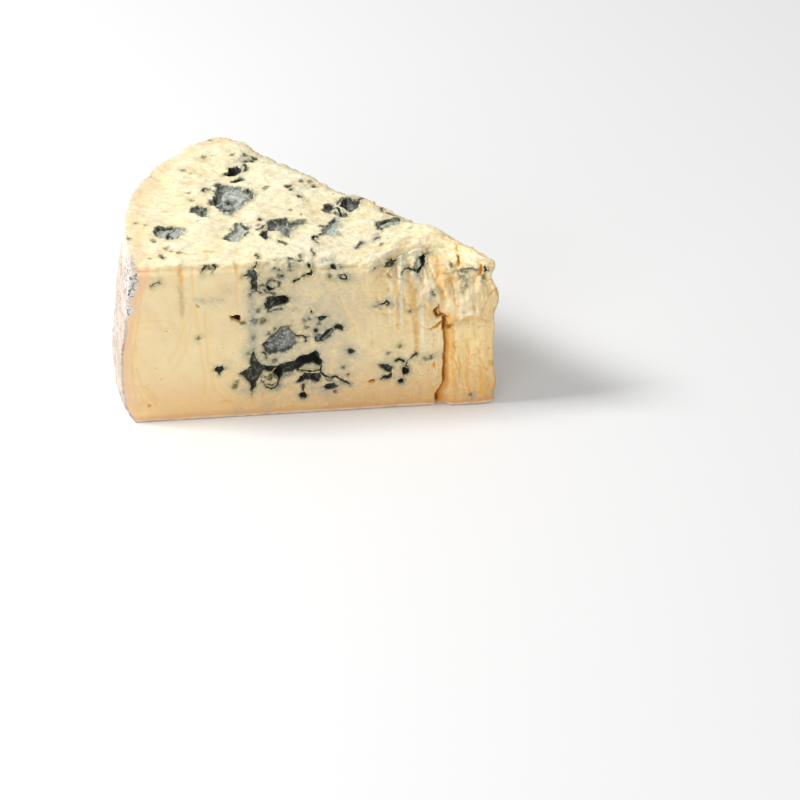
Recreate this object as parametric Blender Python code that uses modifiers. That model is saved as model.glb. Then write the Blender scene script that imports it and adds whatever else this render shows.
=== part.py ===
"""A wedge of blue cheese, made the way the real one is: a wheel is turned, halved flat across and cut
into a wedge, and the soft paste then slumps, cracks near its tip and shows its mould pockets.

Metres, +Z up. The long cut face looks towards -Y and the tip points to +X. The wedge is first
modelled from a working corner (rind's belly at x = 0, long cut face at y = 0) and then moved so
that the origin is the centre of its underside.
"""

import math
from collections import namedtuple

import bmesh
import bpy
from mathutils import Matrix, Vector, noise

# ------------------------------------------------------------------ driving dimensions
TIP_X = 0.1475  # the tip, measured from the working corner
HEIGHT = 0.0720  # at the rind end of the long cut face
TOP_FALL = 0.035  # how far the halved top drops for each metre along x and y
CUT_ANGLE = math.radians(46)  # between the two cut faces
TIP_BLUNT = 0.004  # width of the tip's blunt end

RIND_CENTRE = Vector((0.0992, 0.0314, 0))  # of the rind's arc, seen from above
RIND_RADIUS = 0.1006  # at the belly, which has sunk low
BELLY_HEIGHT = 0.014
RIND_TOP_INSET = 0.0076  # how far the rind draws in from its belly, at the top
RIND_FOOT_INSET = 0.0012  # and at the foot
FOOT_ROUND, FOOT_ROUND_INSET = 0.003, 0.0010  # height and depth of the rounding under the rind
RIND_END = [Vector((0.0775, 0.0740, 0)), Vector((0.0610, 0.0945, 0)), Vector((0.0505, 0.1070, 0))]
FAR_CORNER_TRIM = Vector((-0.040, 0.019, 0))  # from the far face's end out past the rind

WELD = 0.00018  # corners closer than this become one
FLAT_WITHIN = 0.0003  # the underside is made exactly flat
PAST_RIND = 0.040  # how far the cutting tool reaches beyond the rind
BELOW_BASE = 0.010  # and below the wheel's base
SKIN_DEPTH, SKIN_SCALE = 6, 0.60  # the even skin that carries the unevenness: cells near 4 mm

# ------------------------------------------------------------------ how the paste has slumped
LEAN_DEPTH = 0.011  # the long face's upper edge lies back this far near the tip
LEAN_START, LEAN_FULL = 0.098, 0.124
LEAN_FOOT, LEAN_HEAD = 0.044, 0.074
EDGE_SOFT, EDGE_REACH = 0.0016, 0.0055  # the cut faces' upper edges are worn round
FAR_EDGE_SHARE = 0.3  # the far face's edge is worn less
EDGE_SAG = 0.0012  # dip of the top's front edge, past halfway along
SAG_CENTRE, SAG_REACH, SAG_DEPTH = 0.090, 0.016, 0.016
TIP_DROP, TIP_DROP_START = 0.0024, 0.120
TIP_PUSH = 0.0012  # the cracked-off tip chunk stands this far proud of the long face
CORNER_SPREAD, CORNER_SPREAD_FOOT = 0.0042, 0.0020  # the rind's front corner, pushed out by the cut
SPREAD_FOOT_END, SPREAD_FULL = 0.005, 0.035
SPREAD_FADE, SPREAD_DEPTH = 0.015, 0.030  # how far it reaches along the rind and into the paste
BROAD_WAVE, BROAD_SIZE = 0.0009, 0.030
WANDER_OFFSETS = [Vector((7.3, 0.2, 1.9)), Vector((2.1, 9.4, 5.5)), Vector((4.6, 3.8, 8.7))]
TOP_WAVE, TOP_SIZE = 0.0009, 0.014
# Low swells of the top along its far edge: place along x and y, reach and height.
Swell = namedtuple("Swell", "x y reach height")
SWELLS = [
    Swell(0.055, 0.097, 0.012, 0.0026),
    Swell(0.078, 0.070, 0.014, 0.0016),
    Swell(0.102, 0.046, 0.012, 0.0012),
    Swell(0.126, 0.022, 0.010, 0.0020),
]

# ------------------------------------------------------------------ the crack behind the tip chunk
# Stations up the crack: place along x, height and half-width, and how deep it runs into the paste.
Station = namedtuple("Station", "x z half deep")
CRACK = [
    Station(0.1262, -0.002, 0.0026, 0.0100),
    Station(0.1270, 0.006, 0.0014, 0.0100),
    Station(0.1280, 0.018, 0.0008, 0.0090),
    Station(0.1282, 0.030, 0.0008, 0.0075),
    Station(0.1272, 0.037, 0.0013, 0.0060),
    Station(0.1252, 0.0415, 0.0012, 0.0045),
    Station(0.1240, 0.0455, 0.0005, 0.0030),
]

# ------------------------------------------------------------------ mould pockets
# Each is a lens-shaped hollow: where it lies on its face (along, across), its length and width,
# its tilt on the face in degrees and its depth. The far cut face is measured from the tip.
Pocket = namedtuple("Pocket", "along across length width tilt deep")
FRONT_POCKETS = [
    Pocket(0.062, 0.052, 0.0095, 0.0055, 14, 0.0040),
    Pocket(0.063, 0.034, 0.0125, 0.0065, 32, 0.0022),
    Pocket(0.065, 0.0195, 0.012, 0.0035, 26, 0.0040),
    Pocket(0.074, 0.0245, 0.012, 0.0055, 27, 0.0050),
    Pocket(0.075, 0.0160, 0.012, 0.0050, 12, 0.0040),
    Pocket(0.085, 0.0125, 0.010, 0.0040, -14, 0.0030),
    Pocket(0.052, 0.0190, 0.007, 0.0085, 10, 0.0030),
    Pocket(0.0535, 0.0620, 0.0035, 0.0105, 4, 0.0030),
    Pocket(0.083, 0.0370, 0.0115, 0.0040, 30, 0.0025),
    Pocket(0.104, 0.0180, 0.006, 0.0060, -20, 0.0025),
    Pocket(0.111, 0.0160, 0.005, 0.0085, 12, 0.0025),
    Pocket(0.1175, 0.0660, 0.0045, 0.0090, -20, 0.0060),
]
TOP_POCKETS = [
    Pocket(0.047, 0.052, 0.0175, 0.0240, 12, 0.0035),
    Pocket(0.034, 0.043, 0.0060, 0.0070, 0, 0.0022),
    Pocket(0.023, 0.028, 0.0120, 0.0075, 0, 0.0022),
    Pocket(0.050, 0.077, 0.0085, 0.0085, 0, 0.0035),
    Pocket(0.048, 0.026, 0.0090, 0.0110, 20, 0.0018),
    Pocket(0.064, 0.029, 0.0180, 0.0085, 12, 0.0028),
    Pocket(0.086, 0.043, 0.0065, 0.0080, 0, 0.0020),
    Pocket(0.094, 0.046, 0.0085, 0.0090, 0, 0.0035),
    Pocket(0.085, 0.027, 0.0075, 0.0100, -20, 0.0022),
    Pocket(0.109, 0.031, 0.0100, 0.0055, 20, 0.0018),
]
FAR_POCKETS = [
    Pocket(0.045, 0.048, 0.0080, 0.0050, 15, 0.0030),
    Pocket(0.060, 0.024, 0.0130, 0.0050, -18, 0.0035),
    Pocket(0.072, 0.040, 0.0100, 0.0060, 30, 0.0030),
    Pocket(0.088, 0.018, 0.0070, 0.0070, 0, 0.0025),
    Pocket(0.094, 0.053, 0.0040, 0.0090, 8, 0.0030),
    Pocket(0.104, 0.030, 0.0090, 0.0045, -25, 0.0022),
]

TIP = Vector((TIP_X, 0.002, 0))
FAR_ALONG = Vector((-math.cos(CUT_ANGLE), math.sin(CUT_ANGLE), 0))  # from the tip to the rind
FAR_OUT = Vector((math.sin(CUT_ANGLE), math.cos(CUT_ANGLE), 0))  # out of the far cut face

PASTE_COLOUR = (0.82, 0.66, 0.39, 1)
PASTE_ROUGHNESS = 0.45


# ------------------------------------------------------------------ small helpers
def clear_scene():
    for obj in list(bpy.data.objects):
        bpy.data.objects.remove(obj)


def make_collection(name):
    made = bpy.data.collections.new(name)
    bpy.context.scene.collection.children.link(made)
    return made


def object_from(bm, name, collection):
    mesh = bpy.data.meshes.new(name)
    bm.to_mesh(mesh)
    bm.free()
    obj = bpy.data.objects.new(name, mesh)
    collection.objects.link(obj)
    return obj


def as_cutter(obj):
    obj.hide_render = True
    obj.display_type = "WIRE"
    return obj


def smooth_step(value, low, high):
    t = min(1.0, max(0.0, (value - low) / (high - low)))
    return t * t * (3 - 2 * t)


def top_height(x, y):
    """The halved top: a plane that falls a little towards the tip and the far side."""
    return HEIGHT - TOP_FALL * (x + y)


def far_distance(x, y):
    """How far a point lies inside the far cut face."""
    return -(Vector((x, y, 0)) - TIP).dot(FAR_OUT)


# ------------------------------------------------------------------ the wheel and its cut
def rind_radius(z):
    if z > BELLY_HEIGHT:
        share = (z - BELLY_HEIGHT) / (HEIGHT - BELLY_HEIGHT)
        return RIND_RADIUS - RIND_TOP_INSET * share**1.3
    share = (BELLY_HEIGHT - z) / BELLY_HEIGHT
    foot = max(0.0, (FOOT_ROUND - z) / FOOT_ROUND)
    return RIND_RADIUS - RIND_FOOT_INSET * share**2 - FOOT_ROUND_INSET * foot**2


def turned_wheel(collection):
    """Half a wheel: its side's profile, top to bottom, turned about its axis."""
    levels = 24
    height = HEIGHT + 0.004  # the cut takes it down to the sloping top
    heights = [height * (1 - i / levels) for i in range(levels + 1)]
    profile = [(0.0, height)]
    profile += [(rind_radius(z), z) for z in heights]
    profile += [(0.0, 0.0)]
    bm = bmesh.new()
    verts = [bm.verts.new((r, 0, z)) for r, z in profile]
    for a, b in zip(verts, verts[1:]):
        bm.edges.new((a, b))
    wheel = object_from(bm, "turned_wheel", collection)
    wheel.location = RIND_CENTRE
    screw = wheel.modifiers.new("turn", "SCREW")
    screw.steps = screw.render_steps = 120
    screw.use_merge_vertices = True
    screw.merge_threshold = 0.0001
    return as_cutter(wheel)


def wedge_outline():
    """The two cuts seen from above, open beyond the rind's arc."""
    past_rind = RIND_END[-1] + FAR_CORNER_TRIM
    outline = [
        Vector((-PAST_RIND, 0, 0)),
        Vector((TIP_X - TIP_BLUNT, 0, 0)),
        Vector((TIP_X, 0.0015, 0)),
        TIP + FAR_ALONG * TIP_BLUNT,
        *RIND_END,
        past_rind,
        Vector((-PAST_RIND, past_rind.y, 0)),
    ]
    return [Vector((p.x, p.y, -BELOW_BASE)) for p in outline]


def cut_wedge(wheel, collection):
    """The wheel cut along the wedge's outline and halved along the sloping top."""
    bm = bmesh.new()
    bm.faces.new([bm.verts.new(p) for p in wedge_outline()])
    side = bmesh.ops.extrude_face_region(bm, geom=bm.faces[:])["geom"]
    for vert in (g for g in side if isinstance(g, bmesh.types.BMVert)):
        vert.co.z = top_height(vert.co.x, vert.co.y)
    bmesh.ops.recalc_face_normals(bm, faces=bm.faces)
    wedge = object_from(bm, "cheese_wedge", collection)
    halved = wedge.modifiers.new("cut_from_the_wheel", "BOOLEAN")
    halved.operation = "INTERSECT"
    halved.object = wheel
    skin = wedge.modifiers.new("even_skin", "REMESH")
    skin.mode = "SHARP"
    skin.octree_depth = SKIN_DEPTH
    skin.scale = SKIN_SCALE
    skin.use_smooth_shade = True
    return apply_modifiers(wedge)


def apply_modifiers(obj):
    graph = bpy.context.evaluated_depsgraph_get()
    mesh = bpy.data.meshes.new_from_object(obj.evaluated_get(graph))
    obj.modifiers.clear()
    obj.data = mesh
    return obj


# ------------------------------------------------------------------ slumping
def room_behind(p):
    """How much paste lies between the two cut faces, measured straight back from a point."""
    return p.y + far_distance(p.x, p.y) / math.cos(CUT_ANGLE)


def lean_back(p):
    """How far the long face's upper part lies back near the tip, fading towards the far face."""
    room = room_behind(p)
    if room < 1e-6:
        return 0.0
    amount = LEAN_DEPTH * smooth_step(p.x, LEAN_START, LEAN_FULL)
    amount *= smooth_step(p.z, LEAN_FOOT, LEAN_HEAD)
    return min(amount, 0.45 * room) * (1 - min(1.0, max(0.0, p.y / room)))


def worn_edge(p):
    """Draws the sharp edges between the top and the two cut faces down and in."""
    below = top_height(p.x, p.y) - p.z
    long_edge = 1 - smooth_step(max(p.y, below), 0.0, EDGE_REACH)
    far_edge = 1 - smooth_step(max(far_distance(p.x, p.y), below), 0.0, EDGE_REACH)
    far_edge *= FAR_EDGE_SHARE
    narrow = smooth_step(room_behind(p), 0.004, 0.016)
    inward = Vector((0, 1, 0)) * long_edge - FAR_OUT * far_edge
    down = Vector((0, 0, -1)) * max(long_edge, far_edge)
    return (inward + down) * EDGE_SOFT * narrow


def corner_spread(p):
    """How far the rind's front corner stands out past the wheel's round."""
    inside = rind_radius(p.z) - (Vector((p.x, p.y, 0)) - RIND_CENTRE).length
    rise = smooth_step(p.z, SPREAD_FOOT_END, SPREAD_FULL)
    amount = CORNER_SPREAD_FOOT + (CORNER_SPREAD - CORNER_SPREAD_FOOT) * rise
    return amount * math.exp(-p.y / SPREAD_FADE) * (1 - smooth_step(inside, 0.0, SPREAD_DEPTH))


def tip_bulge(z):
    """The tip chunk's ragged end, seen side on: a notch under its top and two swellings."""
    notch = -0.0018 * math.exp(-(((z - 0.057) / 0.0045) ** 2))
    upper = 0.0010 * math.exp(-(((z - 0.046) / 0.0060) ** 2))
    lower = 0.0008 * math.exp(-(((z - 0.008) / 0.0050) ** 2))
    return notch + upper + lower


def wander(p):
    """A gentle unevenness that differs along each axis."""
    return Vector([noise.noise(p + offset) for offset in WANDER_OFFSETS])


def swelling(x, y):
    return sum(
        s.height * math.exp(-((x - s.x) ** 2 + (y - s.y) ** 2) / s.reach**2) for s in SWELLS
    )


def slumped(p):
    """Where a point of the fresh-cut wedge ends up."""
    lift = smooth_step(p.z, 0.0, 0.010)  # the underside stays flat on its board
    moved = p + wander(p / BROAD_SIZE) * BROAD_WAVE * lift + worn_edge(p)
    near_top = smooth_step(p.z, top_height(p.x, p.y) - 0.012, top_height(p.x, p.y))
    moved.z += (noise.noise(p / TOP_SIZE) * TOP_WAVE + swelling(p.x, p.y)) * near_top
    sag = math.exp(-(((p.x - SAG_CENTRE) / SAG_REACH) ** 2)) * math.exp(-p.y / SAG_DEPTH)
    moved.z -= EDGE_SAG * sag * near_top
    moved.z -= TIP_DROP * smooth_step(p.x, TIP_DROP_START, TIP_X) * near_top
    moved.y += lean_back(p)
    chunk = smooth_step(p.x, 0.128, 0.131)
    moved.y -= TIP_PUSH * chunk * (1 - smooth_step(p.z, 0.02, 0.05))
    moved.x += tip_bulge(p.z) * smooth_step(p.x, 0.138, TIP_X) * lift
    moved.x -= corner_spread(p)
    return moved


def slump(wedge):
    for vert in wedge.data.vertices:
        vert.co = slumped(vert.co)
    lay_flat(wedge.data.vertices)
    flatten_underside(wedge)


def lay_flat(vertices):
    for vert in vertices:
        if vert.co.z < FLAT_WITHIN:
            vert.co.z = 0.0


def flatten_underside(wedge):
    """One flat face under the wedge in place of the skin's grid."""
    bm = bmesh.new()
    bm.from_mesh(wedge.data)
    flat = [f for f in bm.faces if all(v.co.z == 0.0 for v in f.verts)]
    bmesh.ops.dissolve_faces(bm, faces=flat, use_verts=True)
    bmesh.ops.triangulate(bm, faces=[f for f in bm.faces if len(f.verts) > 4])
    bm.to_mesh(wedge.data)
    bm.free()


# ------------------------------------------------------------------ crack and pockets
def crack_cutter(collection):
    """A blade-thin wedge that follows the crack's stations and narrows into the paste."""
    bm = bmesh.new()
    sections = []
    for s in CRACK:
        mouth, root = -0.006, s.deep
        corners = [(-s.half, mouth), (s.half, mouth), (0.2 * s.half, root), (-0.2 * s.half, root)]
        sections.append([bm.verts.new((s.x + dx, y, s.z)) for dx, y in corners])
    for low, high in zip(sections, sections[1:]):
        for i in range(4):
            j = (i + 1) % 4
            bm.faces.new((low[i], low[j], high[j], high[i]))
    bm.faces.new(sections[0][::-1])
    bm.faces.new(sections[-1])
    bmesh.ops.recalc_face_normals(bm, faces=bm.faces)
    return as_cutter(object_from(bm, "crack_cutter", collection))


def pocket_cutter(pocket, place, across_axis, out, name, collection):
    """One lens-shaped hollow: a ball flattened to its depth, roughened and set on its face."""
    along_axis = across_axis.cross(out)
    turn = Matrix.Rotation(math.radians(pocket.tilt), 3, out)
    u, v = turn @ along_axis, turn @ across_axis
    bm = bmesh.new()
    bmesh.ops.create_icosphere(bm, subdivisions=2, radius=1.0)
    for vert in bm.verts:
        c = vert.co * (1 + 0.28 * noise.noise(vert.co * 1.3 + place * 90))
        half_long, half_wide = pocket.length / 2, pocket.width / 2
        vert.co = place + u * c.x * half_long + v * c.y * half_wide + out * c.z * pocket.deep
    return as_cutter(object_from(bm, name, collection))


def pocket_cutters(collection):
    up = Vector((0, 0, 1))
    cutters = []
    for i, p in enumerate(FRONT_POCKETS):
        place = slumped(Vector((p.along, 0, p.across)))
        cutters.append(pocket_cutter(p, place, up, Vector((0, -1, 0)), f"front_pocket_{i}", collection))
    for i, p in enumerate(TOP_POCKETS):
        place = slumped(Vector((p.along, p.across, top_height(p.along, p.across))))
        across = Vector((0, 1, 0))
        cutters.append(pocket_cutter(p, place, across, up, f"top_pocket_{i}", collection))
    for i, p in enumerate(FAR_POCKETS):
        foot = TIP + FAR_ALONG * p.along
        place = slumped(Vector((foot.x, foot.y, p.across)))
        cutters.append(pocket_cutter(p, place, up, FAR_OUT, f"far_pocket_{i}", collection))
    return cutters


def cut_away(wedge, cutters):
    for cutter in cutters:
        cut = wedge.modifiers.new(cutter.name, "BOOLEAN")
        cut.operation = "DIFFERENCE"
        cut.object = cutter
    return apply_modifiers(wedge)


def weld(wedge):
    """Joins the corners that the cuts have left next to each other."""
    bm = bmesh.new()
    bm.from_mesh(wedge.data)
    bmesh.ops.triangulate(bm, faces=bm.faces)
    bmesh.ops.remove_doubles(bm, verts=bm.verts, dist=WELD)
    bmesh.ops.dissolve_degenerate(bm, dist=WELD, edges=bm.edges)
    bmesh.ops.triangulate(bm, faces=bm.faces)
    lay_flat(bm.verts)
    bm.to_mesh(wedge.data)
    bm.free()


# ------------------------------------------------------------------ finish
def paste_material():
    material = bpy.data.materials.new("blue_cheese_paste")
    material.use_nodes = True
    shader = material.node_tree.nodes["Principled BSDF"]
    shader.inputs["Base Color"].default_value = PASTE_COLOUR
    shader.inputs["Roughness"].default_value = PASTE_ROUGHNESS
    shader.inputs["Metallic"].default_value = 0.0
    return material


def centre_on_underside(obj):
    """Moves the wedge so that the origin is the centre of its underside's box."""
    corners = [Vector(c) for c in obj.bound_box]
    low = Vector(map(min, *corners))
    high = Vector(map(max, *corners))
    middle = (low + high) / 2
    obj.data.transform(Matrix.Translation((-middle.x, -middle.y, -low.z)))


def build():
    clear_scene()
    shown = make_collection("blue_cheese_wedge")
    cutters = make_collection("cutters")
    wedge = cut_wedge(turned_wheel(cutters), shown)
    slump(wedge)
    cut_away(wedge, [crack_cutter(cutters)] + pocket_cutters(cutters))
    weld(wedge)
    centre_on_underside(wedge)
    wedge.data.materials.clear()
    wedge.data.materials.append(paste_material())
    wedge.data.set_sharp_from_angle(angle=math.radians(50))


build()
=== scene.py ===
"""The looks of the blue cheese wedge: a fine mesh of the same form as its solid, with mould pockets,
cracks, torn paste and a crinkled rind, its procedural finish, a pale floor, soft light and the camera.

Shapes are worked out in millimetres from the solid's working corner: x along the long cut face from
the rind to the tip, y back from that face, z up. They are moved onto the solid at the end.
"""

import math
from collections import namedtuple

import bmesh
import bpy
import numpy as np
from mathutils import Matrix, Vector, noise


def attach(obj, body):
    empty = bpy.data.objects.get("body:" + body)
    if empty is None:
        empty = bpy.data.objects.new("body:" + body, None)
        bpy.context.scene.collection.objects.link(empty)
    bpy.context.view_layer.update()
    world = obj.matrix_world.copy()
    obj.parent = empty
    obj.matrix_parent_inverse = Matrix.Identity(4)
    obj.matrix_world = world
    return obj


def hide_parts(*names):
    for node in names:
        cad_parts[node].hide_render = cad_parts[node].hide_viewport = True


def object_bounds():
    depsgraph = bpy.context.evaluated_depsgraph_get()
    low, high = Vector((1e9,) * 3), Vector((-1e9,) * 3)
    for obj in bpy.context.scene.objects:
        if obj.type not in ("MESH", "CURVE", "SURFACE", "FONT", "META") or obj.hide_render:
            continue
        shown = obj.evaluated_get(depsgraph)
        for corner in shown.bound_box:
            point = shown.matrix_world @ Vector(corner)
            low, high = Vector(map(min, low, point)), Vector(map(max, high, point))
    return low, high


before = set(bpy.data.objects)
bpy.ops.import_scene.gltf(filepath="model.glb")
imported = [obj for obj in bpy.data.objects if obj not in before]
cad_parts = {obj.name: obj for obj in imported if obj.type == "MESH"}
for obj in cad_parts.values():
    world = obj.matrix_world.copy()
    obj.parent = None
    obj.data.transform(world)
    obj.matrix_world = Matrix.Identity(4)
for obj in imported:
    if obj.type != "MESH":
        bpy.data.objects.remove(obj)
CAD_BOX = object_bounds()

MM = 0.001

# ------------------------------------------------------------------ the solid's driving dimensions
TIP_X = 147.5
HEIGHT = 72.0
TOP_FALL = 0.035
CUT_ANGLE = math.radians(46)
TIP_BLUNT = 4.0
RIND_CENTRE = np.array([99.2, 31.4])
RIND_RADIUS = 100.6
BELLY_HEIGHT = 14.0
RIND_TOP_INSET, RIND_FOOT_INSET = 7.6, 1.2
FOOT_ROUND, FOOT_ROUND_INSET = 8.0, 2.4
RIND_END = [(77.5, 74.0), (61.0, 94.5), (50.5, 107.0)]
FAR_CORNER_TRIM = (-40.0, 19.0)
PAST_RIND, BELOW_BASE = 40.0, 10.0
SOLID_MIDDLE = np.array([73.58, 55.41])  # of the solid's box, from its working corner

LEAN_DEPTH, LEAN_START, LEAN_FULL, LEAN_FOOT, LEAN_HEAD = 11.0, 98.0, 124.0, 44.0, 74.0
EDGE_SOFT, EDGE_REACH, FAR_EDGE_SHARE = 1.6, 5.5, 0.3
MELT_REACH, MELT_SHARE = 14.0, 1.5
EDGE_SAG, SAG_CENTRE, SAG_REACH, SAG_DEPTH = 1.2, 90.0, 16.0, 16.0
CORNER_SPREAD, CORNER_SPREAD_FOOT = 4.2, 2.0
SPREAD_FOOT_END, SPREAD_FULL, SPREAD_FADE, SPREAD_DEPTH = 5.0, 35.0, 15.0, 30.0
TIP_DROP, TIP_DROP_START, TIP_PUSH, TIP_CORNER_CUT = 1.8, 120.0, 1.2, 1.2
TIP_BULGES = [(57.0, 4.0, -1.8), (46.5, 5.0, 0.9), (40.0, 2.6, -0.8), (10.0, 5.0, 1.4), (28.0, 5.0, -0.5)]
BROAD_WAVE, BROAD_SIZE = 0.9, 30.0
TOP_WAVE, TOP_SIZE = 0.9, 14.0
Swell = namedtuple("Swell", "x y reach height")
SWELLS = [
    Swell(55.0, 97.0, 12.0, 2.6),
    Swell(68.0, 86.0, 7.0, 0.9),
    Swell(78.0, 70.0, 14.0, 1.6),
    Swell(102.0, 46.0, 12.0, 1.2),
    Swell(126.0, 22.0, 10.0, 2.0),
]

TIP = np.array([TIP_X, 2.0])
FAR_ALONG = np.array([-math.cos(CUT_ANGLE), math.sin(CUT_ANGLE)])
FAR_OUT = np.array([math.sin(CUT_ANGLE), math.cos(CUT_ANGLE)])

# ------------------------------------------------------------------ the skin and its relief
LONG, TOP, FAR = "long", "top", "far"
FACES = (LONG, TOP, FAR)
ROUND_EDGE = 2.2
WHEEL_EXTRA, WHEEL_RINGS, WHEEL_STEPS = 4.0, 25, 120
SKIN_DEPTH, SKIN_SCALE = 6, 0.60
MOST_ROUNDS = 16
FINE, FAR_FINE, DRAGGED_CELL, BASE_CELL = 0.58, 0.928, 0.95, 5.0  # the longest edges, in millimetres
FACE_CELLS = {"rind": 1.7, FAR: 2.0, LONG: 1.3, TOP: 1.05}
MARK_REACH = 4.0
SOFT_DEPTH = 0.75  # shallower marks are smudges in the paste, not hollows
DRAG_START = 94.0  # from here to the tip the long face was dragged by the knife
TIP_BLOCK = (127.5, 130.0)  # past the crack
TEAR_TURN = np.array(Matrix.Rotation(math.radians(28), 3, "Z"))  # the way the top's paste was torn

# Where each wandering shift is taken from the noise, for x, y and z.
WANDER_OFFSETS = [(7.3, 0.2, 1.9), (2.1, 9.4, 5.5), (4.6, 3.8, 8.7)]
SWIRL_OFFSETS = [(2.0, 7.0, 1.0), (8.0, 3.0, 5.0), (5.0, 9.0, 9.0)]
TORN_OFFSETS = [(1.2, 5.1, 0.4), (6.3, 2.2, 7.7), (3.9, 8.8, 2.6)]

# ------------------------------------------------------------------ floor, light and camera
FLOOR_REACH, FLOOR_GAP = 3.0, 0.02  # metres and millimetres
LIGHT_TARGET = Vector((0.0, 0.0, 0.03))
# The camera's place from the working corner in millimetres, the direction it looks in and its lens.
CAMERA_PLACE = np.array([-9.9, -1105.7, 732.6])
CAMERA_LOOK = Vector((0.0902, 0.8314, -0.5483))
CAMERA_LENS = 151.24

# ------------------------------------------------------------------ mould pockets, veins and specks
# Places are millimetres on a face: (x, z) on the long face, (x, y) on the top, and (distance from
# the tip, z) on the far face. Each table holds its rows by face.

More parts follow.
